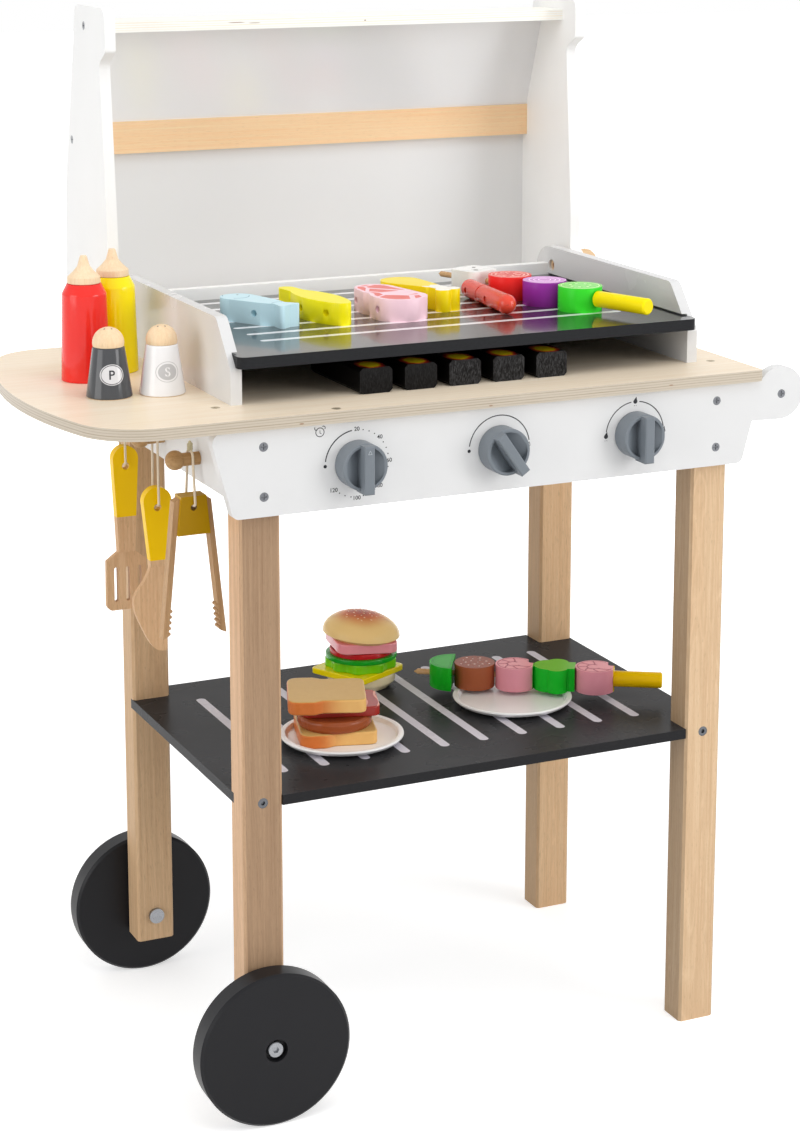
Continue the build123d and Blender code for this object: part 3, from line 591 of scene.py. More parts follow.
def turned_shape(profile, turns=72):
    # A solid turned about z; its profile (radius, height, bend) starts and ends on the axis.
    (_, low), *rings, (_, high) = rounded(profile)
    points = [(0, 0, low)]
    for r, z in rings:
        points += [(*polar(r, 360 * k / turns), z) for k in range(turns)]
    points.append((0, 0, high))
    last = len(points) - 1
    top = last - turns
    faces = []
    for k in range(turns):
        n = (k + 1) % turns
        faces += [(0, 1 + n, 1 + k), (top + k, top + n, last)]
    for first in range(1, top, turns):
        faces += band(first, turns)
    return points, faces


def slab_shape(outline, low, high):
    return tube([[(u, v, z) for u, v in outline] for z in (low, high)])


def line(path, width):
    # A thin printed line of some width along a path of points, as one closed strip.
    low, high = -print_t / 2, print_t / 2
    rings = []
    for k in range(len(path)):
        before, after = path[max(k - 1, 0)], path[min(k + 1, len(path) - 1)]
        along = (Vector(after) - Vector(before)).normalized()
        side = Vector((-along.y, along.x)) * width / 2
        left, right = Vector(path[k]) + side, Vector(path[k]) - side
        rings.append([(*left, high), (*right, high), (*right, low), (*left, low)])
    return tube(rings)


def patch(outline):
    return slab_shape(outline, -print_t / 2, print_t / 2)


def dot(r, spot, parts=16):
    return patch(ring(*spot, r, parts))


def hoop(r, width):
    return line(closed(ring(0, 0, r, 40)), width)


def letters(text, size, u, v):
    # A short text as thin closed shapes, centred on (u, v).
    data = bpy.data.curves.new("letters", "FONT")
    data.body = text
    data.size = size
    data.extrude = print_t / 2
    data.offset = size * 0.014
    data.resolution_u = 4
    obj = new_object("letters", data)
    evaluated = obj.evaluated_get(bpy.context.evaluated_depsgraph_get())
    mesh = bpy.data.meshes.new_from_object(evaluated)
    xs = [p.co.x for p in mesh.vertices]
    ys = [p.co.y for p in mesh.vertices]
    du, dv = u - (min(xs) + max(xs)) / 2, v - (min(ys) + max(ys)) / 2
    points = [(p.co.x + du, p.co.y + dv, p.co.z) for p in mesh.vertices]
    faces = [tuple(f.vertices) for f in mesh.polygons]
    bpy.data.meshes.remove(mesh)
    bpy.data.objects.remove(obj)
    return points, faces


# New pieces

def build(name, body, material, shapes, place, smooth=False, edge=0.0, replaced=()):
    # One piece from shapes in mm; place turns (u, v, w) into a point of the frame in mm.
    mesh = bpy.data.meshes.new(name)
    bm = bmesh.new()
    for points, faces in shapes:
        made = [bm.verts.new([c * MM for c in place(*p)]) for p in points]
        for face in faces:
            bm.faces.new([made[k] for k in face])
    bmesh.ops.remove_doubles(bm, verts=bm.verts, dist=0.000002)
    bmesh.ops.recalc_face_normals(bm, faces=bm.faces)
    for face in bm.faces:
        face.smooth = smooth
    bm.to_mesh(mesh)
    bm.free()
    if smooth:
        mesh.set_sharp_from_angle(angle=math.radians(40))
    mesh.materials.append(material)
    obj = new_object(name, mesh)
    if edge:
        bevel(obj, edge, 3, 50)
    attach(obj, body)
    if replaced:
        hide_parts(*replaced)


def remake(name, node, material, shape, place, edge=0.0):
    # A smooth piece that takes the place of a CAD node, or of a part of one.
    build(name, node, material, [shape], place, True, edge, (node,))


def flat_at(x, y, z, turn=0.0):
    def place(u, v, w):
        du, dv = turned(u, v, turn)
        return x + du, y + dv, z + w

    return place


# Prints on the front panel, as places in x and z

dial_r = 25.6
start_dot_r = 1.35
minute_dot_r = 0.5
figure_size = 4.4
clock_x, clock_z, clock_r = -147.6, 534.3, 3.3
pointer_tip, pointer_low, pointer_half = knob_z + 14.6, knob_z + 11.8, 1.5


def on_front(y):
    def place(u, v, w):
        return u, y - w, v

    return place


def on_dial(x, degrees, further=0.0):
    return polar(dial_r + further, degrees, x, knob_z)


def dial_arc(x, start, end, width=0.8):
    return line(arc(x, knob_z, dial_r, start, end), width)


def flame(u, v, r):
    # A drop with its tip up and a little to the right.
    out = []
    for k in range(20):
        across, along = polar(1.0, 18 * k - 90)
        up = max(0.0, along) ** 4
        out.append((u + r * across * (1 - 0.5 * up) + 0.5 * r * up, v + r * along * (1 + 1.1 * up)))
    return out


def clock_marks():
    # A small alarm clock with two bells and two hands.
    shapes = [line(arc(clock_x, clock_z, clock_r, 0, 360, 30), 0.6)]
    for side in (-1, 1):
        bell = arc(clock_x + side * 2.9, clock_z + 3.1, 1.3, 45 - side * 90, 225 - side * 90, 10)
        shapes.append(line(bell, 0.6))
    shapes.append(line([(clock_x, clock_z - 1.0), (clock_x, clock_z + 1.4)], 0.45))
    shapes.append(line([(clock_x, clock_z - 0.6), (clock_x + 1.2, clock_z - 1.2)], 0.45))
    return shapes


def timer_marks():
    # Figures from 20 to 120, clockwise from the top, with three dots between each two.
    x = -knob_x
    shapes = [dot(start_dot_r, on_dial(x, 180)), dial_arc(x, 172, 99, 0.9)]
    for k in range(6):
        at = 90 - 45 * k
        shapes.append(letters(str(20 * (k + 1)), figure_size, *on_dial(x, at, 0.6)))
        if k < 5:
            shapes += [dot(minute_dot_r, on_dial(x, at - 11.25 * j), 10) for j in (1, 2, 3)]
    return shapes + clock_marks()


def heat_marks():
    small_flame = closed(flame(*on_dial(0, 0, -0.6), 1.2))
    return [dot(start_dot_r, on_dial(0, 180)), dial_arc(0, 172, 9), line(small_flame, 0.4)]


def burner_marks():
    shapes = []
    for at in (180, 90, 0):
        u, v = on_dial(knob_x, at)
        shapes.append(patch(flame(u, v, 1.8)))
        shapes += [dot(0.3, (u + side * 0.8, v - 3.3), 8) for side in (-1, 1)]
    return shapes + [dial_arc(knob_x, 172, 98), dial_arc(knob_x, 82, 8)]


def make_panel_prints():
    ink = paint("dial_ink", rgb(52, 52, 56), 0.5)
    for name, shapes in (("timer", timer_marks()), ("heat", heat_marks()), ("burner", burner_marks())):
        build(name + "_dial_marks", "stand", ink, shapes, on_front(panel_y))
    # The outline of a small triangle on the timer's grip
    left, right = (-knob_x - pointer_half, pointer_low), (-knob_x + pointer_half, pointer_low)
    loop = closed([(-knob_x, pointer_tip), left, right])
    pointer = [line([loop[k], loop[k + 1]], 0.35) for k in range(3)]
    pale = paint("pointer_ink", rgb(180, 186, 192), 0.5)
    build("timer_pointer", "knob_timer", pale, pointer, on_front(knob_face_y))


# Bottles and shakers: profiles are (radius, height, bend)

bottle_profile = [(0, 0, 0), (19.2, 0, 1.2), (17.3, 68, 4), (13.3, 75.8, 0), (0, 75.8, 0)]
cap_profile = [
    (0, 76, 0), (12.9, 76, 0.6), (12.6, 81, 1.5), (8.6, 84.6, 2), (4.9, 89, 3),
    (2.8, 96.4, 0.8), (2.2, 97.3, 0.5), (0, 97.3, 0),
]
shaker_profile = [
    (0, 0.4, 0), (17.3, 0.4, 0.5), (17.6, 1.0, 0.4), (12.2, 37.6, 0.8), (11.6, 38.2, 0), (0, 38.2, 0),
]
foot_profile = [(0, 0, 0), (17.0, 0, 0), (17.0, 0.9, 0), (0, 0.9, 0)]
cone_low_r, cone_top_r, cone_h = 17.6, 12.1, 38.0
badge_z = 19.0
badge_half_w = 9.4
badge_half_h = 7.8
badge_r = 14.85
letter_size = 9.6
hole_circle_r = 4.6
hole_r = 0.62


def badge_paint(name, colour, spot, facing, oval, gap, ringed):
    # Gloss paint with an oval badge: a filled oval with a thin ring round it.
    skin = Skin(name)
    ahead, aside = skin.local(spot, facing)
    u = number("ARCTAN2", aside, ahead) * (badge_r / badge_half_w)
    off = length_of(u, (skin.z - (table_z + badge_z)) / badge_half_h)
    tone = paint_tone(skin.place, colour, 0.02)
    for reach, ink in ((1.0, ringed), (0.93, colour), (gap, oval)):
        tone = blend(below(off, reach, 0.02), tone, ink)
    return finish(skin, tone, 0.14, 0.4, 0.01)


def shaker_top(name, spot, seed):
    # A plain dome with five small holes, each a dimple with painted shade in it.
    skin = Skin(name)
    tone, pores, _ = wood_tone(skin.place, "z", rgb(248, 222, 186), rgb(238, 206, 164), 0.12, 0.3, seed)
    x, y = skin.local(spot)
    turn = number("PINGPONG", number("ARCTAN2", y, x), math.radians(36))
    # Painted shade in each hole: a dark brown spot.
    hole = below(length_of(length_of(x, y) - hole_circle_r, turn * hole_circle_r), hole_r, 0.12)
    tone = blend(hole, tone, rgb(110, 84, 62))
    return skin.wear(tone, 0.45, Normal=bump(pores * 0.1 - hole, 0.5))


def dome_profile(r, start, length, parts=12):
    out = []
    for k in range(parts):
        across, up = polar(1.0, 90 * k / parts)
        out.append((r * across, start + length * up, 0))
    return out + [(0, start + length, 0)]


def on_cone(spot, facing):
    # Wraps a flat print round the shaker's cone, its middle at the badge.
    def place(u, v, w):
        z = badge_z + v
        r = cone_low_r - (cone_low_r - cone_top_r) * z / cone_h + w + 0.08
        x, y = polar(r, facing + math.degrees(u / badge_r), *spot)
        return x, y, table_z + z

    return place


def make_bottle(name, spot, colour, cap):
    at = flat_at(*spot, table_z)
    remake(name + "_body", name, paint(name + "_paint", colour, 0.14, 0.3, 0.02, 0.01),
           turned_shape(bottle_profile), at)
    remake(name + "_cap", name, cap, turned_shape(cap_profile), at)


def make_shaker(name, spot, facing, letter, colour, letter_ink, oval, ringed, gap):
    at = flat_at(*spot, table_z)
    gloss = badge_paint(name + "_paint", colour, spot, facing, oval, gap, ringed)
    remake(name + "_body", name, gloss, turned_shape(shaker_profile), at)
    foot = wood(name + "_foot_wood", "z", rgb(236, 208, 170), rgb(220, 188, 146), seed=15)
    remake(name + "_foot", name, foot, turned_shape(foot_profile), at)
    dome = [(0, 38.3, 0), (11.6, 38.3, 0.4)] + dome_profile(12.0, 41.0, 12.0)
    remake(name + "_dome", name, shaker_top(name + "_wood", spot, 16), turned_shape(dome), at)
    mark = paint(name + "_letter_ink", letter_ink, 0.3, 0.2)
    shapes = [letters(letter, letter_size, 0, 0)]
    build(name + "_letter", name, mark, shapes, on_cone(spot, facing), replaced=(name,))


def make_table_ware():
    cap = wood("cap_wood", "z", rgb(250, 226, 192), rgb(240, 208, 168), 0.12, 0.3, 0.42, 14)
    make_bottle("red_bottle", (-267, 35), rgb(242, 46, 38), cap)
    make_bottle("yellow_bottle", (-236, 59), rgb(255, 234, 0), cap)
    make_shaker("pepper_shaker", (-270.5, -33), -98.7, "P", rgb(72, 74, 78), rgb(60, 61, 66),
                rgb(222, 222, 226), rgb(222, 222, 226), 0.86)
    make_shaker("salt_shaker", (-230.4, -39), -92.8, "S", rgb(244, 244, 246), rgb(244, 244, 246),
                rgb(198, 198, 200), rgb(206, 206, 208), 0.78)


# Coals

coal_first_x = -84.0
coal_pitch = 37.5
ember_y = -95.0
ember_half_x, ember_half_y = 8.4, 11.5

# From the outside in: the reach of each colour, how soft its edge is, and the colour
embers = ((1.25, 0.18, rgb(176, 36, 22)), (1.0, 0.12, rgb(250, 160, 20)), (0.85, 0.1, rgb(255, 226, 20)))


def coal_paint(name, x, shift, streak):
    # Black with grey grain on its front end, and a glowing spot on top.
    skin = Skin(name)
    grain = noise(stretched(skin.place, (1.6, 0.1, 0.3), (shift, 0, 0)), 1.0, 3.0, 0.6, 0.8)
    front = steps(skin.facing("y") * -1.0, 0.6, 0.9)
    streaks = steps(grain, 0.42, 0.66) * front * streak
    tone = blend(streaks, paint_tone(skin.place, rgb(16, 15, 15)), rgb(84, 84, 86))
    wobble = (skin.noise(0.22, 2.0) - 0.5) * 0.5
    off = length_of((skin.x - x) / ember_half_x, (skin.y - ember_y) / ember_half_y) + wobble
    up = steps(skin.facing("z"), 0.8, 0.9)
    for reach, soft, glow in embers:
        tone = blend(below(off, reach, soft) * up, tone, glow)
    return finish(skin, tone, 0.3, 0.0, 0.03, 0.08)


def make_coals():
    for k in range(5):
        # The two coals at the left have a smoother front end.
        streak = 0.15 if k < 2 else 0.6
        material = coal_paint("coal_paint_" + str(k + 1), coal_first_x + coal_pitch * k, 7.0 * k, streak)
        dress(material, "charcoal_" + str(k + 1))


# Food on the grill

def top_face(skin, height):
    return steps(skin.facing("z"), 0.7, 0.9) * steps(skin.z, height - 0.8, height - 0.5)


# The steak is a long oval with a notch: the ends of its middle line, and its radius at each end
steak_low_u, steak_high_u = -23.0, 20.0
steak_low_r, steak_high_r = 17.0, 22.0
steak_rim = 3.6
notch_place, notch_r = (-2.0, -30.0, 0.0), 16.4


def steak_paint():
    # Pink, with red meat between pale veins inside its rim.
    skin = Skin("steak_paint")
    x, y = skin.local(steak_spot, steak_turn)
    flat = joined(x, y)
    t = compute("MapRange", {"Value": x, "From Min": steak_low_u, "From Max": steak_high_u})
    nearest = joined(spread(t, steak_low_u, steak_high_u), 0.0)
    away = vector("DISTANCE", flat, nearest, out=1) - spread(t, steak_low_r, steak_high_r)
    notch = vector("DISTANCE", flat, notch_place, out=1)
    inside = below(away, -steak_rim, 0.2) * steps(notch, notch_r, notch_r + 0.4)
    inputs = {"Vector": flat, "Scale": 0.036, "Randomness": 0.75}
    veins = steps(compute("TexVoronoi", inputs, "Distance", feature="DISTANCE_TO_EDGE"), 0.035, 0.05)
    red = blend(noise(flat, 0.08, 2.0), rgb(228, 92, 88), rgb(238, 118, 110))
    pink = paint_tone(skin.place, rgb(255, 216, 228))
    return finish(skin, blend(inside * veins * top_face(skin, food_top), pink, red), 0.36, 0.15)


def drumstick_paint():
    # Yellow, with a pale bone that ends in a wavy line.
    skin = Skin("drumstick_paint")
    x, y = skin.local(drumstick_spot, drumstick_turn)
    wavy = x + number("SINE", y * 0.7) * 1.2
    bone = steps(wavy, 12.6, 13.0) * top_face(skin, food_top)
    yellow = paint_tone(skin.place, rgb(255, 228, 0))
    return finish(skin, blend(bone, yellow, rgb(252, 250, 240)), 0.34, 0.15)


def sausage_paint():
    skin = Skin("sausage_paint")
    specks = steps(skin.noise(0.6, 2.0), 0.63, 0.70)
    red = paint_tone(skin.place, rgb(230, 70, 48), 0.05)
    return finish(skin, blend(specks * 0.3, red, rgb(130, 36, 22)), 0.2, 0.5, 0.01)


def finish_grill_food():
    dress(paint("fish_paint", rgb(204, 238, 248), 0.34, 0.1), "fish", width=0.8)
    dress(paint("corn_paint", rgb(255, 242, 10), 0.34, 0.1), "corn", width=0.8)
    dress(steak_paint(), "steak", width=0.8)
    dress(drumstick_paint(), "drumstick", width=0.8)
    dress(sausage_paint(), "sausage")
    at = flat_at(*fish_spot, food_top, fish_turn)
    gill, tail = line(arc(-27, 0, 11, -52, 52), 0.7), line(arc(26, 0, 9, 140, 220, 12), 0.6)
    mouth = line([(-34, -7.6), (-37.4, -4.4)], 0.5)
    blue = paint("fish_line_ink", rgb(104, 160, 180), 0.4)
    build("fish_lines", "fish", blue, [gill, tail, mouth], at)
    dark = paint("fish_eye_ink", rgb(60, 84, 96), 0.3)
    build("fish_eye", "fish", dark, [dot(0.9, (-30.0, 5.2), 12)], at)


# Skewers

def skewer_paint(name, tip, turn, items, items_top):
    # Each item is (start, end, colour, colour of its top), with distances from the tip of the stick.
    skin = Skin(name)
    along, aside = skin.local(tip[:2], turn)
    core = length_of(aside, skin.z - tip[2])
    grip = items[-1][0] + 1.0
    on_item = number("MAXIMUM", steps(core, 2.46, 2.5), steps(along, grip, grip + 0.5))
    top = top_face(skin, items_top)
    tone, _, _ = wood_tone(skin.place, "y", rgb(222, 182, 134), rgb(200, 156, 108), 0.2, 0.4, 17)
    for low, high, side, upper in items:
        mask = steps(along, low - 0.05, low + 0.05) * below(along, high, 0.05) * on_item
        tone = blend(mask, tone, blend(top, side, upper))
    tone = blend(0.1, tone, skin.noise(0.018, 3.0), "SOFT_LIGHT")
    return finish(skin, tone, 0.26, 0.0, 0.02, 0.12)


def finish_skewer(node, tip, turn, items, items_top, prints):
    # Each print is (name, colour, shapes, distance from the tip of the stick).
    dress(skewer_paint(node + "_paint", tip, turn, items, items_top), node, width=0.6)
    for name, colour, shapes, distance in prints:
        at = flat_at(*polar(distance, turn, *tip[:2]), items_top, turn)
        build(name, node, paint(name + "_ink", colour, 0.4), shapes, at)


def mushroom_marks():
    return [patch(arc(6, -4, 2.2, 0, 300, 10)), patch(arc(-5, 5, 1.8, 60, 330, 10))]


def tomato_marks():
    shapes = [hoop(15.4, 0.9)]
    for k in range(6):
        a = 60 * k + 12
        shapes.append(line(arc(0, 0, 12.0, a, a + 44, 8), 1.5))
        shapes.append(line([polar(4.5, a + 22), polar(9.5, a + 22)], 1.3))
    return shapes


def onion_rings():
    return [hoop(r, 0.8) for r in (5.0, 9.0, 12.8)]


def cucumber_marks():
    return [hoop(15.6, 0.8)] + [dot(1.3, polar(8.2, 360 / 7 * k), 10) for k in range(7)]


def finish_grill_skewer():
    items = [
        (26.0, 58.0, rgb(246, 246, 242), rgb(250, 250, 248)),
        (65.0, 102.0, rgb(246, 48, 44), rgb(238, 112, 106)),
        (104.0, 141.0, rgb(154, 52, 164), rgb(222, 162, 226)),
        (143.0, 180.0, rgb(60, 226, 50), rgb(128, 228, 96)),
        (181.0, 240.0, rgb(255, 232, 10), rgb(255, 218, 24)),
    ]
    prints = [
        ("mushroom_marks", rgb(70, 66, 64), mushroom_marks(), 42.0),
        ("tomato_marks", rgb(250, 190, 180), tomato_marks(), 83.5),
        ("onion_rings", rgb(246, 214, 246), onion_rings(), 122.5),
        ("cucumber_marks", rgb(214, 246, 176), cucumber_marks(), 161.5),
    ]
    finish_skewer("grill_skewer", grill_tip, grill_turn, items, grill_item_top, prints)


def shrimp_marks():
    # The outline of a curled shrimp, with six curved lines between its back and its belly.
    shapes = [line(arc(0, 0, 14.6, 52, 342, 40), 1.0), line(arc(-1, -1, 5.6, 60, 330, 24), 1.3)]
    for k in range(6):
        a = 84 + 46 * k
        start, end = Vector(polar(5.6, a, -1, -1)), Vector(polar(14.2, a + 16))
        aside = Vector(polar(-1.2, a + 90))
        shapes.append(line(bend(start, (start + end) / 2 + aside, end, 8), 1.3))
    return shapes


def meatball_dots():
    # Fifteen dots of three sizes, spread evenly along a spiral.
    shapes = []
    for k in range(15):
        spot = polar(13.6 * math.sqrt((k + 0.6) / 15), 137.5 * k)
        shapes.append(dot(0.55 + 0.2 * (k % 3), spot, 10))
    return shapes


def pepper_rim():
    rim = arc(0, 0, 17.6, 92, 268, 30)
    return [line(closed(rim + [(-1.6, -17.0), (-1.6, 17.0)]), 0.8)]


def finish_shelf_skewer():
    pink, pink_top = rgb(226, 150, 164), rgb(244, 166, 174)
    items = [
        (13.0, 34.2, rgb(24, 172, 34), rgb(44, 176, 44)),
        (34.4, 69.0, rgb(158, 86, 54), rgb(150, 76, 48)),
        (69.1, 102.4, pink, pink_top),
        (101.0, 136.5, rgb(22, 184, 40), rgb(112, 200, 54)),
        (136.6, 168.4, pink, pink_top),
        (168.5, 215.0, rgb(232, 190, 0), rgb(232, 190, 0)),
    ]
    prints = [
        ("shrimp_lines_1", rgb(186, 92, 110), shrimp_marks(), 85.8),
        ("shrimp_lines_2", rgb(186, 92, 110), shrimp_marks(), 153.0),
        ("meatball_dots", rgb(250, 226, 214), meatball_dots(), 51.7),
        ("pepper_rim", rgb(20, 150, 34), pepper_rim(), 33.5),
    ]
    finish_skewer("shelf_skewer", shelf_tip, shelf_turn, items, shelf_item_top, prints)


# Burger

bun_r = 32.8
bun_h = 18.0
bun_lean = 0.09
ham_lean = 0.05
lean_x, lean_y = 0.91, -0.42
seed_count = 30
seed_disc_r = 18.0
golden_turn = 137.5

# The heights of the layers, from the base's foot to the bun's underside
base_z = shelf_z
cheese_z = shelf_z + 13
lettuce_z = shelf_z + 18
ring_z = shelf_z + 26
tomato_z = shelf_z + 30
ham_z = shelf_z + 34.5
bun_z = shelf_z + 43
bun_wide_z = bun_z + 3.6


def bun_paint():
    # Golden at the rim, baked brown in the middle of the top.
    skin = Skin("bun_paint")
    out = length_of(*skin.local(burger_spot)) + (skin.noise(0.05, 2.0) - 0.5) * 6.0
    tone = blend(steps(out, 11.0, 28.0), rgb(206, 106, 44), rgb(240, 206, 140))
    tone = blend(steps(out, 2.0, 17.0), rgb(172, 66, 24), tone)
    return finish(skin, tone, 0.24, 0.05, 0.01, 0.12)


def leaning(amount):
    # The upper layers lean a little towards the right as the photograph sees it.
    at = flat_at(*burger_spot, 0)

    def place(u, v, w):
        x, y, z = at(u, v, w)
        return x, y, z - amount * (lean_x * u + lean_y * v)

    return place


def leaf_outline(r):
    # Nine waves round the rim, a little uneven.
    out = []
    for k in range(120):
        a = 2 * math.pi * k / 120
        out.append(polar(r - 1.6 + 1.6 * math.cos(9 * a) + 0.5 * math.cos(4 * a + 1.0), 3 * k))
    return out


def seed_shape(x, y, z, turn, tilt_x, tilt_y):
    # A small drop, half sunk in the bun.
    rings = []
    for j in range(7):
        t = j / 6
        r = 0.52 * math.sin(math.pi * t) ** 0.7 * (1.1 - 0.5 * t) + 0.02
        made = []
        for aside, up in ring(0, 0, r, 8):
            u, v = turned((t - 0.5) * 2.0, aside, turn)
            made.append((x + u, y + v, z + 0.7 * up + tilt_x * u + tilt_y * v))
        rings.append(made)
    return tube(rings)


def bun_seeds():
    # Seeds on the dome, each tilted with the slope under it.
    draw = random.Random(5)
    seeds = []
    for k in range(seed_count):
        r = seed_disc_r * math.sqrt((k + 0.5) / seed_count) + draw.uniform(-0.6, 0.6)
        x, y = polar(r, golden_turn * k + math.degrees(draw.uniform(-0.15, 0.15)))
        drop = math.sqrt(1 - (r / bun_r) ** 2)
        slope = -bun_h / (bun_r ** 2 * drop)
        seeds.append(seed_shape(x, y, bun_wide_z + bun_h * drop, draw.uniform(0, 180), slope * x, slope * y))
    return seeds


def make_burger():
    def layer(name, colour, shape, edge=0.0, lean=0.0):
        material = paint("burger_" + name + "_paint", colour, 0.24, 0.3, 0.03, 0.01)
        remake("burger_" + name, "burger", material, shape, leaning(lean), edge)

    base = [(0, base_z, 0), (23, base_z, 3), (29, base_z + 6, 4), (29, cheese_z, 1.2), (0, cheese_z, 0)]
    layer("base", rgb(244, 228, 188), turned_shape(base))
    cheese = [turned(u - 5, v, 27) for u, v in square(28.5, 28.5, 5)]
    layer("cheese", rgb(248, 226, 0), slab_shape(cheese, cheese_z, lettuce_z), 0.8)
    layer("lettuce", rgb(118, 204, 16), slab_shape(leaf_outline(30.5), lettuce_z, ring_z), 0.9)
    green_ring = [
        (0, ring_z, 0), (30.4, ring_z, 0.8), (30.4, tomato_z, 0.8), (24.2, tomato_z, 0),
        (24.2, ring_z + 0.4, 0), (0, ring_z + 0.4, 0),
    ]
    layer("ring", rgb(14, 160, 30), turned_shape(green_ring))
    tomato = [
        (0, ring_z + 0.5, 0), (23.8, ring_z + 0.5, 0), (23.8, tomato_z, 0), (27, tomato_z, 0.8),
        (27, ham_z, 1.0), (0, ham_z, 0),
    ]
    layer("tomato", rgb(196, 26, 34), turned_shape(tomato))
    ham = [turned(u, v, -8) for u, v in square(26.5, 26.5, 11)]
    layer("ham", rgb(240, 152, 162), slab_shape(ham, ham_z + 0.6, bun_z + 0.6), 1.0, ham_lean)
    bun = [(0, bun_z, 0), (27.5, bun_z, 2.0)] + dome_profile(bun_r, bun_wide_z, bun_h, 16)
    remake("burger_bun", "burger", bun_paint(), turned_shape(bun), leaning(bun_lean))
    cream = paint("seed_paint", rgb(250, 218, 178), 0.35)
    build("burger_seeds", "burger", cream, bun_seeds(), leaning(bun_lean), True, 0.0, ("burger",))


# Sandwich and dishes

bread_corners = [
    (30, -27.5, 7), (30, 27.5, 7), (-4, 27.5, 5), (-11, 31.5, 6),
    (-32, 31.5, 10), (-32, -31.5, 10), (-11, -31.5, 6), (-4, -27.5, 5),
]
bread_t = 11
patty_t = 9.5
bacon_t = 8
dish_t = 3.2
bacon_turn = -18
dish_profile = [
    (0, 0, 0), (37, 0, 2), (47.5, 3.0, 2), (50, 5.6, 1.0), (49.4, 7.0, 0.7),
    (45.4, 6.8, 0.9), (43.6, dish_t, 1.4), (40, dish_t, 0), (0, dish_t, 0),
]


def bread_paint():
    # Pale on top, golden on the crust, browner towards its rounded end.
    skin = Skin("bread_paint")
    crust = blend(steps(skin.x, -118.0, -92.0), rgb(210, 118, 58), rgb(238, 188, 116))
    up = steps(abs(skin.facing("z")), 0.55, 0.95)
    tone = blend(up, crust, rgb(212, 174, 106))
    tone = blend(0.12, tone, skin.noise(0.25, 3.0), "SOFT_LIGHT")
    return finish(skin, tone, 0.3, 0.0, 0.03, 0.12)


def bacon_paint(spot):
    # Dark red with wavy pale stripes on top.
    skin = Skin("bacon_paint")
    x, y = skin.local(spot, bacon_turn)
    off = number("PINGPONG", x + number("SINE", y * 0.2) * 1.2 + 100.0, 5.0)
    stripe = below(off, 0.8, 0.25) * steps(skin.facing("z"), 0.6, 0.8)
    return finish(skin, blend(stripe, rgb(164, 44, 34), rgb(236, 160, 140)), 0.26, 0.3)


def make_sandwich():
    x, y = sandwich_spot
    low = shelf_z + dish_t
    patty_z = low + bread_t
    bacon_z = patty_z + patty_t
    upper_z = bacon_z + bacon_t
    bread = bread_paint()
    outline = rounded(bread_corners)

    def part(name, material, shape, spot, turn=0.0, edge=0.0):
        remake("sandwich_" + name, "sandwich", material, shape, flat_at(*spot, 0, turn), edge)

    part("lower", bread, slab_shape(outline, low, patty_z), (x + 4, y + 3), -16, 1.4)
    patty = [
        (0, patty_z, 0), (28.5, patty_z, 1), (30, patty_z + 2.5, 3), (30, bacon_z - 2, 3),
        (28.5, bacon_z, 1), (0, bacon_z, 0),
    ]
    part("patty", paint("patty_paint", rgb(158, 80, 42), 0.26, 0.1), turned_shape(patty), (x + 2, y + 2))
    bacon_spot = (x + 8, y + 6)
    bacon = slab_shape(square(31, 22, 8), bacon_z, upper_z)
    part("bacon", bacon_paint(bacon_spot), bacon, bacon_spot, bacon_turn, 1.0)
    part("upper", bread, slab_shape(outline, upper_z, upper_z + bread_t), (x - 4, y + 2), -21, 1.4)


def make_dishes():
    white = paint("dish_paint", rgb(252, 252, 252), 0.2, 0.3, 0.01, 0.01)
    for name, x, y in (("sandwich_plate", -87, -46), ("skewer_plate", 79, -21)):
        remake(name + "_dish", name, white, turned_shape(dish_profile, 96), flat_at(x, y, shelf_z))


# Cords

def cord_route(y, hole_z, hole_radius, half_t):
    # Over the peg's neck, down both sides and under the top of the hole.
    r = peg_neck_r + cord_r + seat_gap
    low = hole_z + hole_radius - cord_r - seat_gap
    wide = half_t + 3
    half = [(0.5, peg_z + r), (r, peg_z + r), (r, peg_z - 4), (wide, low + 4), (wide, low)]
    down = [(hang_x, y - off, z) for off, z in half]
    return down + [(hang_x, y + off, z) for off, z in reversed(half)]


def curve_through(name, points, radius, material):
    data = bpy.data.curves.new(name, "CURVE")
    data.dimensions = "3D"
    data.resolution_u = 16
    spline = data.splines.new("NURBS")
    spline.points.add(len(points) - 1)
    for point, place in zip(spline.points, points):
        point.co = (*[c * MM for c in place], 1.0)
    spline.order_u = 3
    spline.use_endpoint_u = True
    data.bevel_depth = radius * MM
    data.bevel_resolution = 4
    data.use_fill_caps = True
    data.materials.append(material)
    return new_object(name, data)


def knot_points(y):
    # One strand wound up and the other down, as a tight twisted knot on the peg.
    low, tall, r, turns, count = peg_z + peg_neck_r + 1.5, 5.6, 1.35, 1.75, 15
    up, down = [], []
    for k in range(count):
        t = k / (count - 1)
        u, v = polar(r, 360 * turns * t)
        up.append((hang_x + u, y + v, low + tall * t))
        down.append((hang_x - u, y - v, low + tall * t))
    return up + [(hang_x, y, low + tall + 1.2)] + down[::-1]


# Each cord: its body, the y of its peg, the height and radius of its hole, half the thickness of
# what hangs on it, and its length in metres
cords = (
    ("spatula", peg_pitch, peg_z - 40, 3, 4, 0.108),
    ("knife", 0.0, peg_z - 55.5, 3, 4, 0.139),
    ("tongs", -peg_pitch, peg_z - 36, 2.5, 7, 0.1075),
)


def make_cords():
    pale = cotton("cotton_cord", rgb(236, 220, 194))
    olive = cotton("cotton_knot", rgb(214, 204, 166))
    for body, y, hole_z, hole_radius, half_t, length in cords:
        points = cord_route(y, hole_z, hole_radius, half_t)
        piece = curve_through(body + "_loop", points, cord_r, pale)
        knot = curve_through(body + "_knot", knot_points(y), cord_r, olive)
        for made in (piece, knot):
            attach(made, body)
            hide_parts(body + "_cord")
        start = tuple(c * MM for c in points[0])


# Stage and light

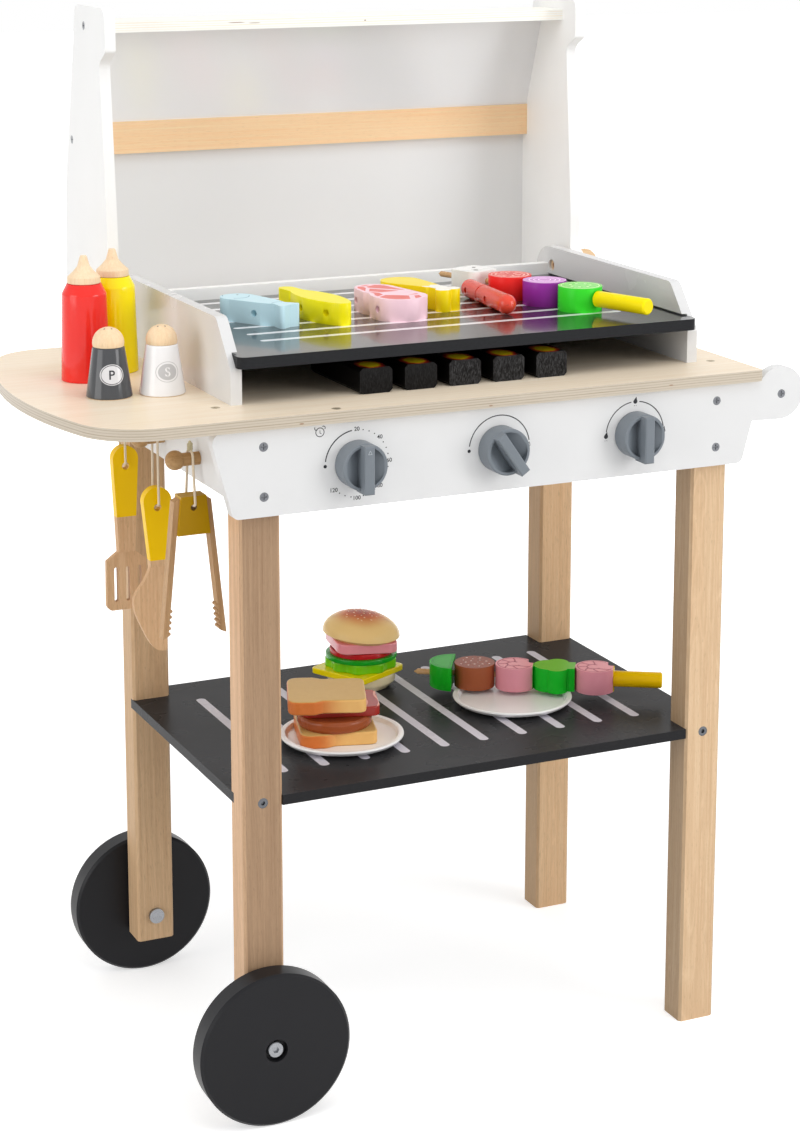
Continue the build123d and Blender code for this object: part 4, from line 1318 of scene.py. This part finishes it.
floor_half = 12.0
ambient = 0.5
light_target = (0, 0, 0.45)


def seen_rays(tree):
    # 1 for what the camera sees, straight, mirrored or through a clear thing; 0 for what lights.
    seen = source(tree, "LightPath", "Is Camera Ray")
    for kind in ("Glossy", "Transmission"):
        seen = number("MAXIMUM", seen, source(tree, "LightPath", "Is " + kind + " Ray"))
    return seen


def make_floor():
    # The camera sees it glow white far out and less near the grill, where it takes a light shadow.
    mesh = bpy.data.meshes.new("floor")
    corners = [(x * floor_half, y * floor_half, 0) for x, y in ((-1, -1), (1, -1), (1, 1), (-1, 1))]
    mesh.from_pydata(corners, [], [(0, 1, 2, 3)])
    skin = Skin("floor_paint")
    far = steps(vector("LENGTH", skin.place, out=1), 400.0, 2600.0)
    glow = seen_rays(skin.tree) * spread(far, 0.5, 1.0)
    mesh.materials.append(skin.wear((0.82, 0.82, 0.82, 1), 0.95, Specular_IOR_Level=0.1,
                                    Emission_Color=(1, 1, 1, 1), Emission_Strength=glow))
    new_object("floor", mesh)


def make_world():
    world = bpy.data.worlds.new("studio")
    bpy.context.scene.world = world
    world.use_nodes = True
    inputs = world.node_tree.nodes["Background"].inputs
    plug(inputs["Color"], (1, 1, 1, 1))
    plug(inputs["Strength"], spread(seen_rays(world.node_tree), ambient, 1.0))


def make_light(name, place, size, power, mirrored=True):
    data = bpy.data.lights.new(name, "AREA")
    data.shape = "SQUARE"
    data.size = size
    data.energy = power
    light = new_object(name, data)
    light.location = place
    light.visible_glossy = mirrored
    light.rotation_euler = (Vector(light_target) - Vector(place)).to_track_quat("-Z", "Y").to_euler()


def make_lights():
    make_light("key", (2.3, -2.5, 1.5), 1.8, 46)
    make_light("fill", (-2.8, -0.6, 1.2), 1.8, 28)
    make_light("top", (0.0, -0.9, 2.7), 2.0, 26, False)
    make_light("back", (0.6, 2.6, 1.6), 1.8, 14, False)


make_camera()
make_cords()
finish_painted()
finish_woods()
finish_metals()
finish_utensils()
make_panel_prints()
make_table_ware()
make_coals()
finish_grill_food()
finish_grill_skewer()
finish_shelf_skewer()
make_burger()
make_sandwich()
make_dishes()
make_floor()
make_world()
make_lights()

bpy.context.scene.view_settings.view_transform = "Standard"
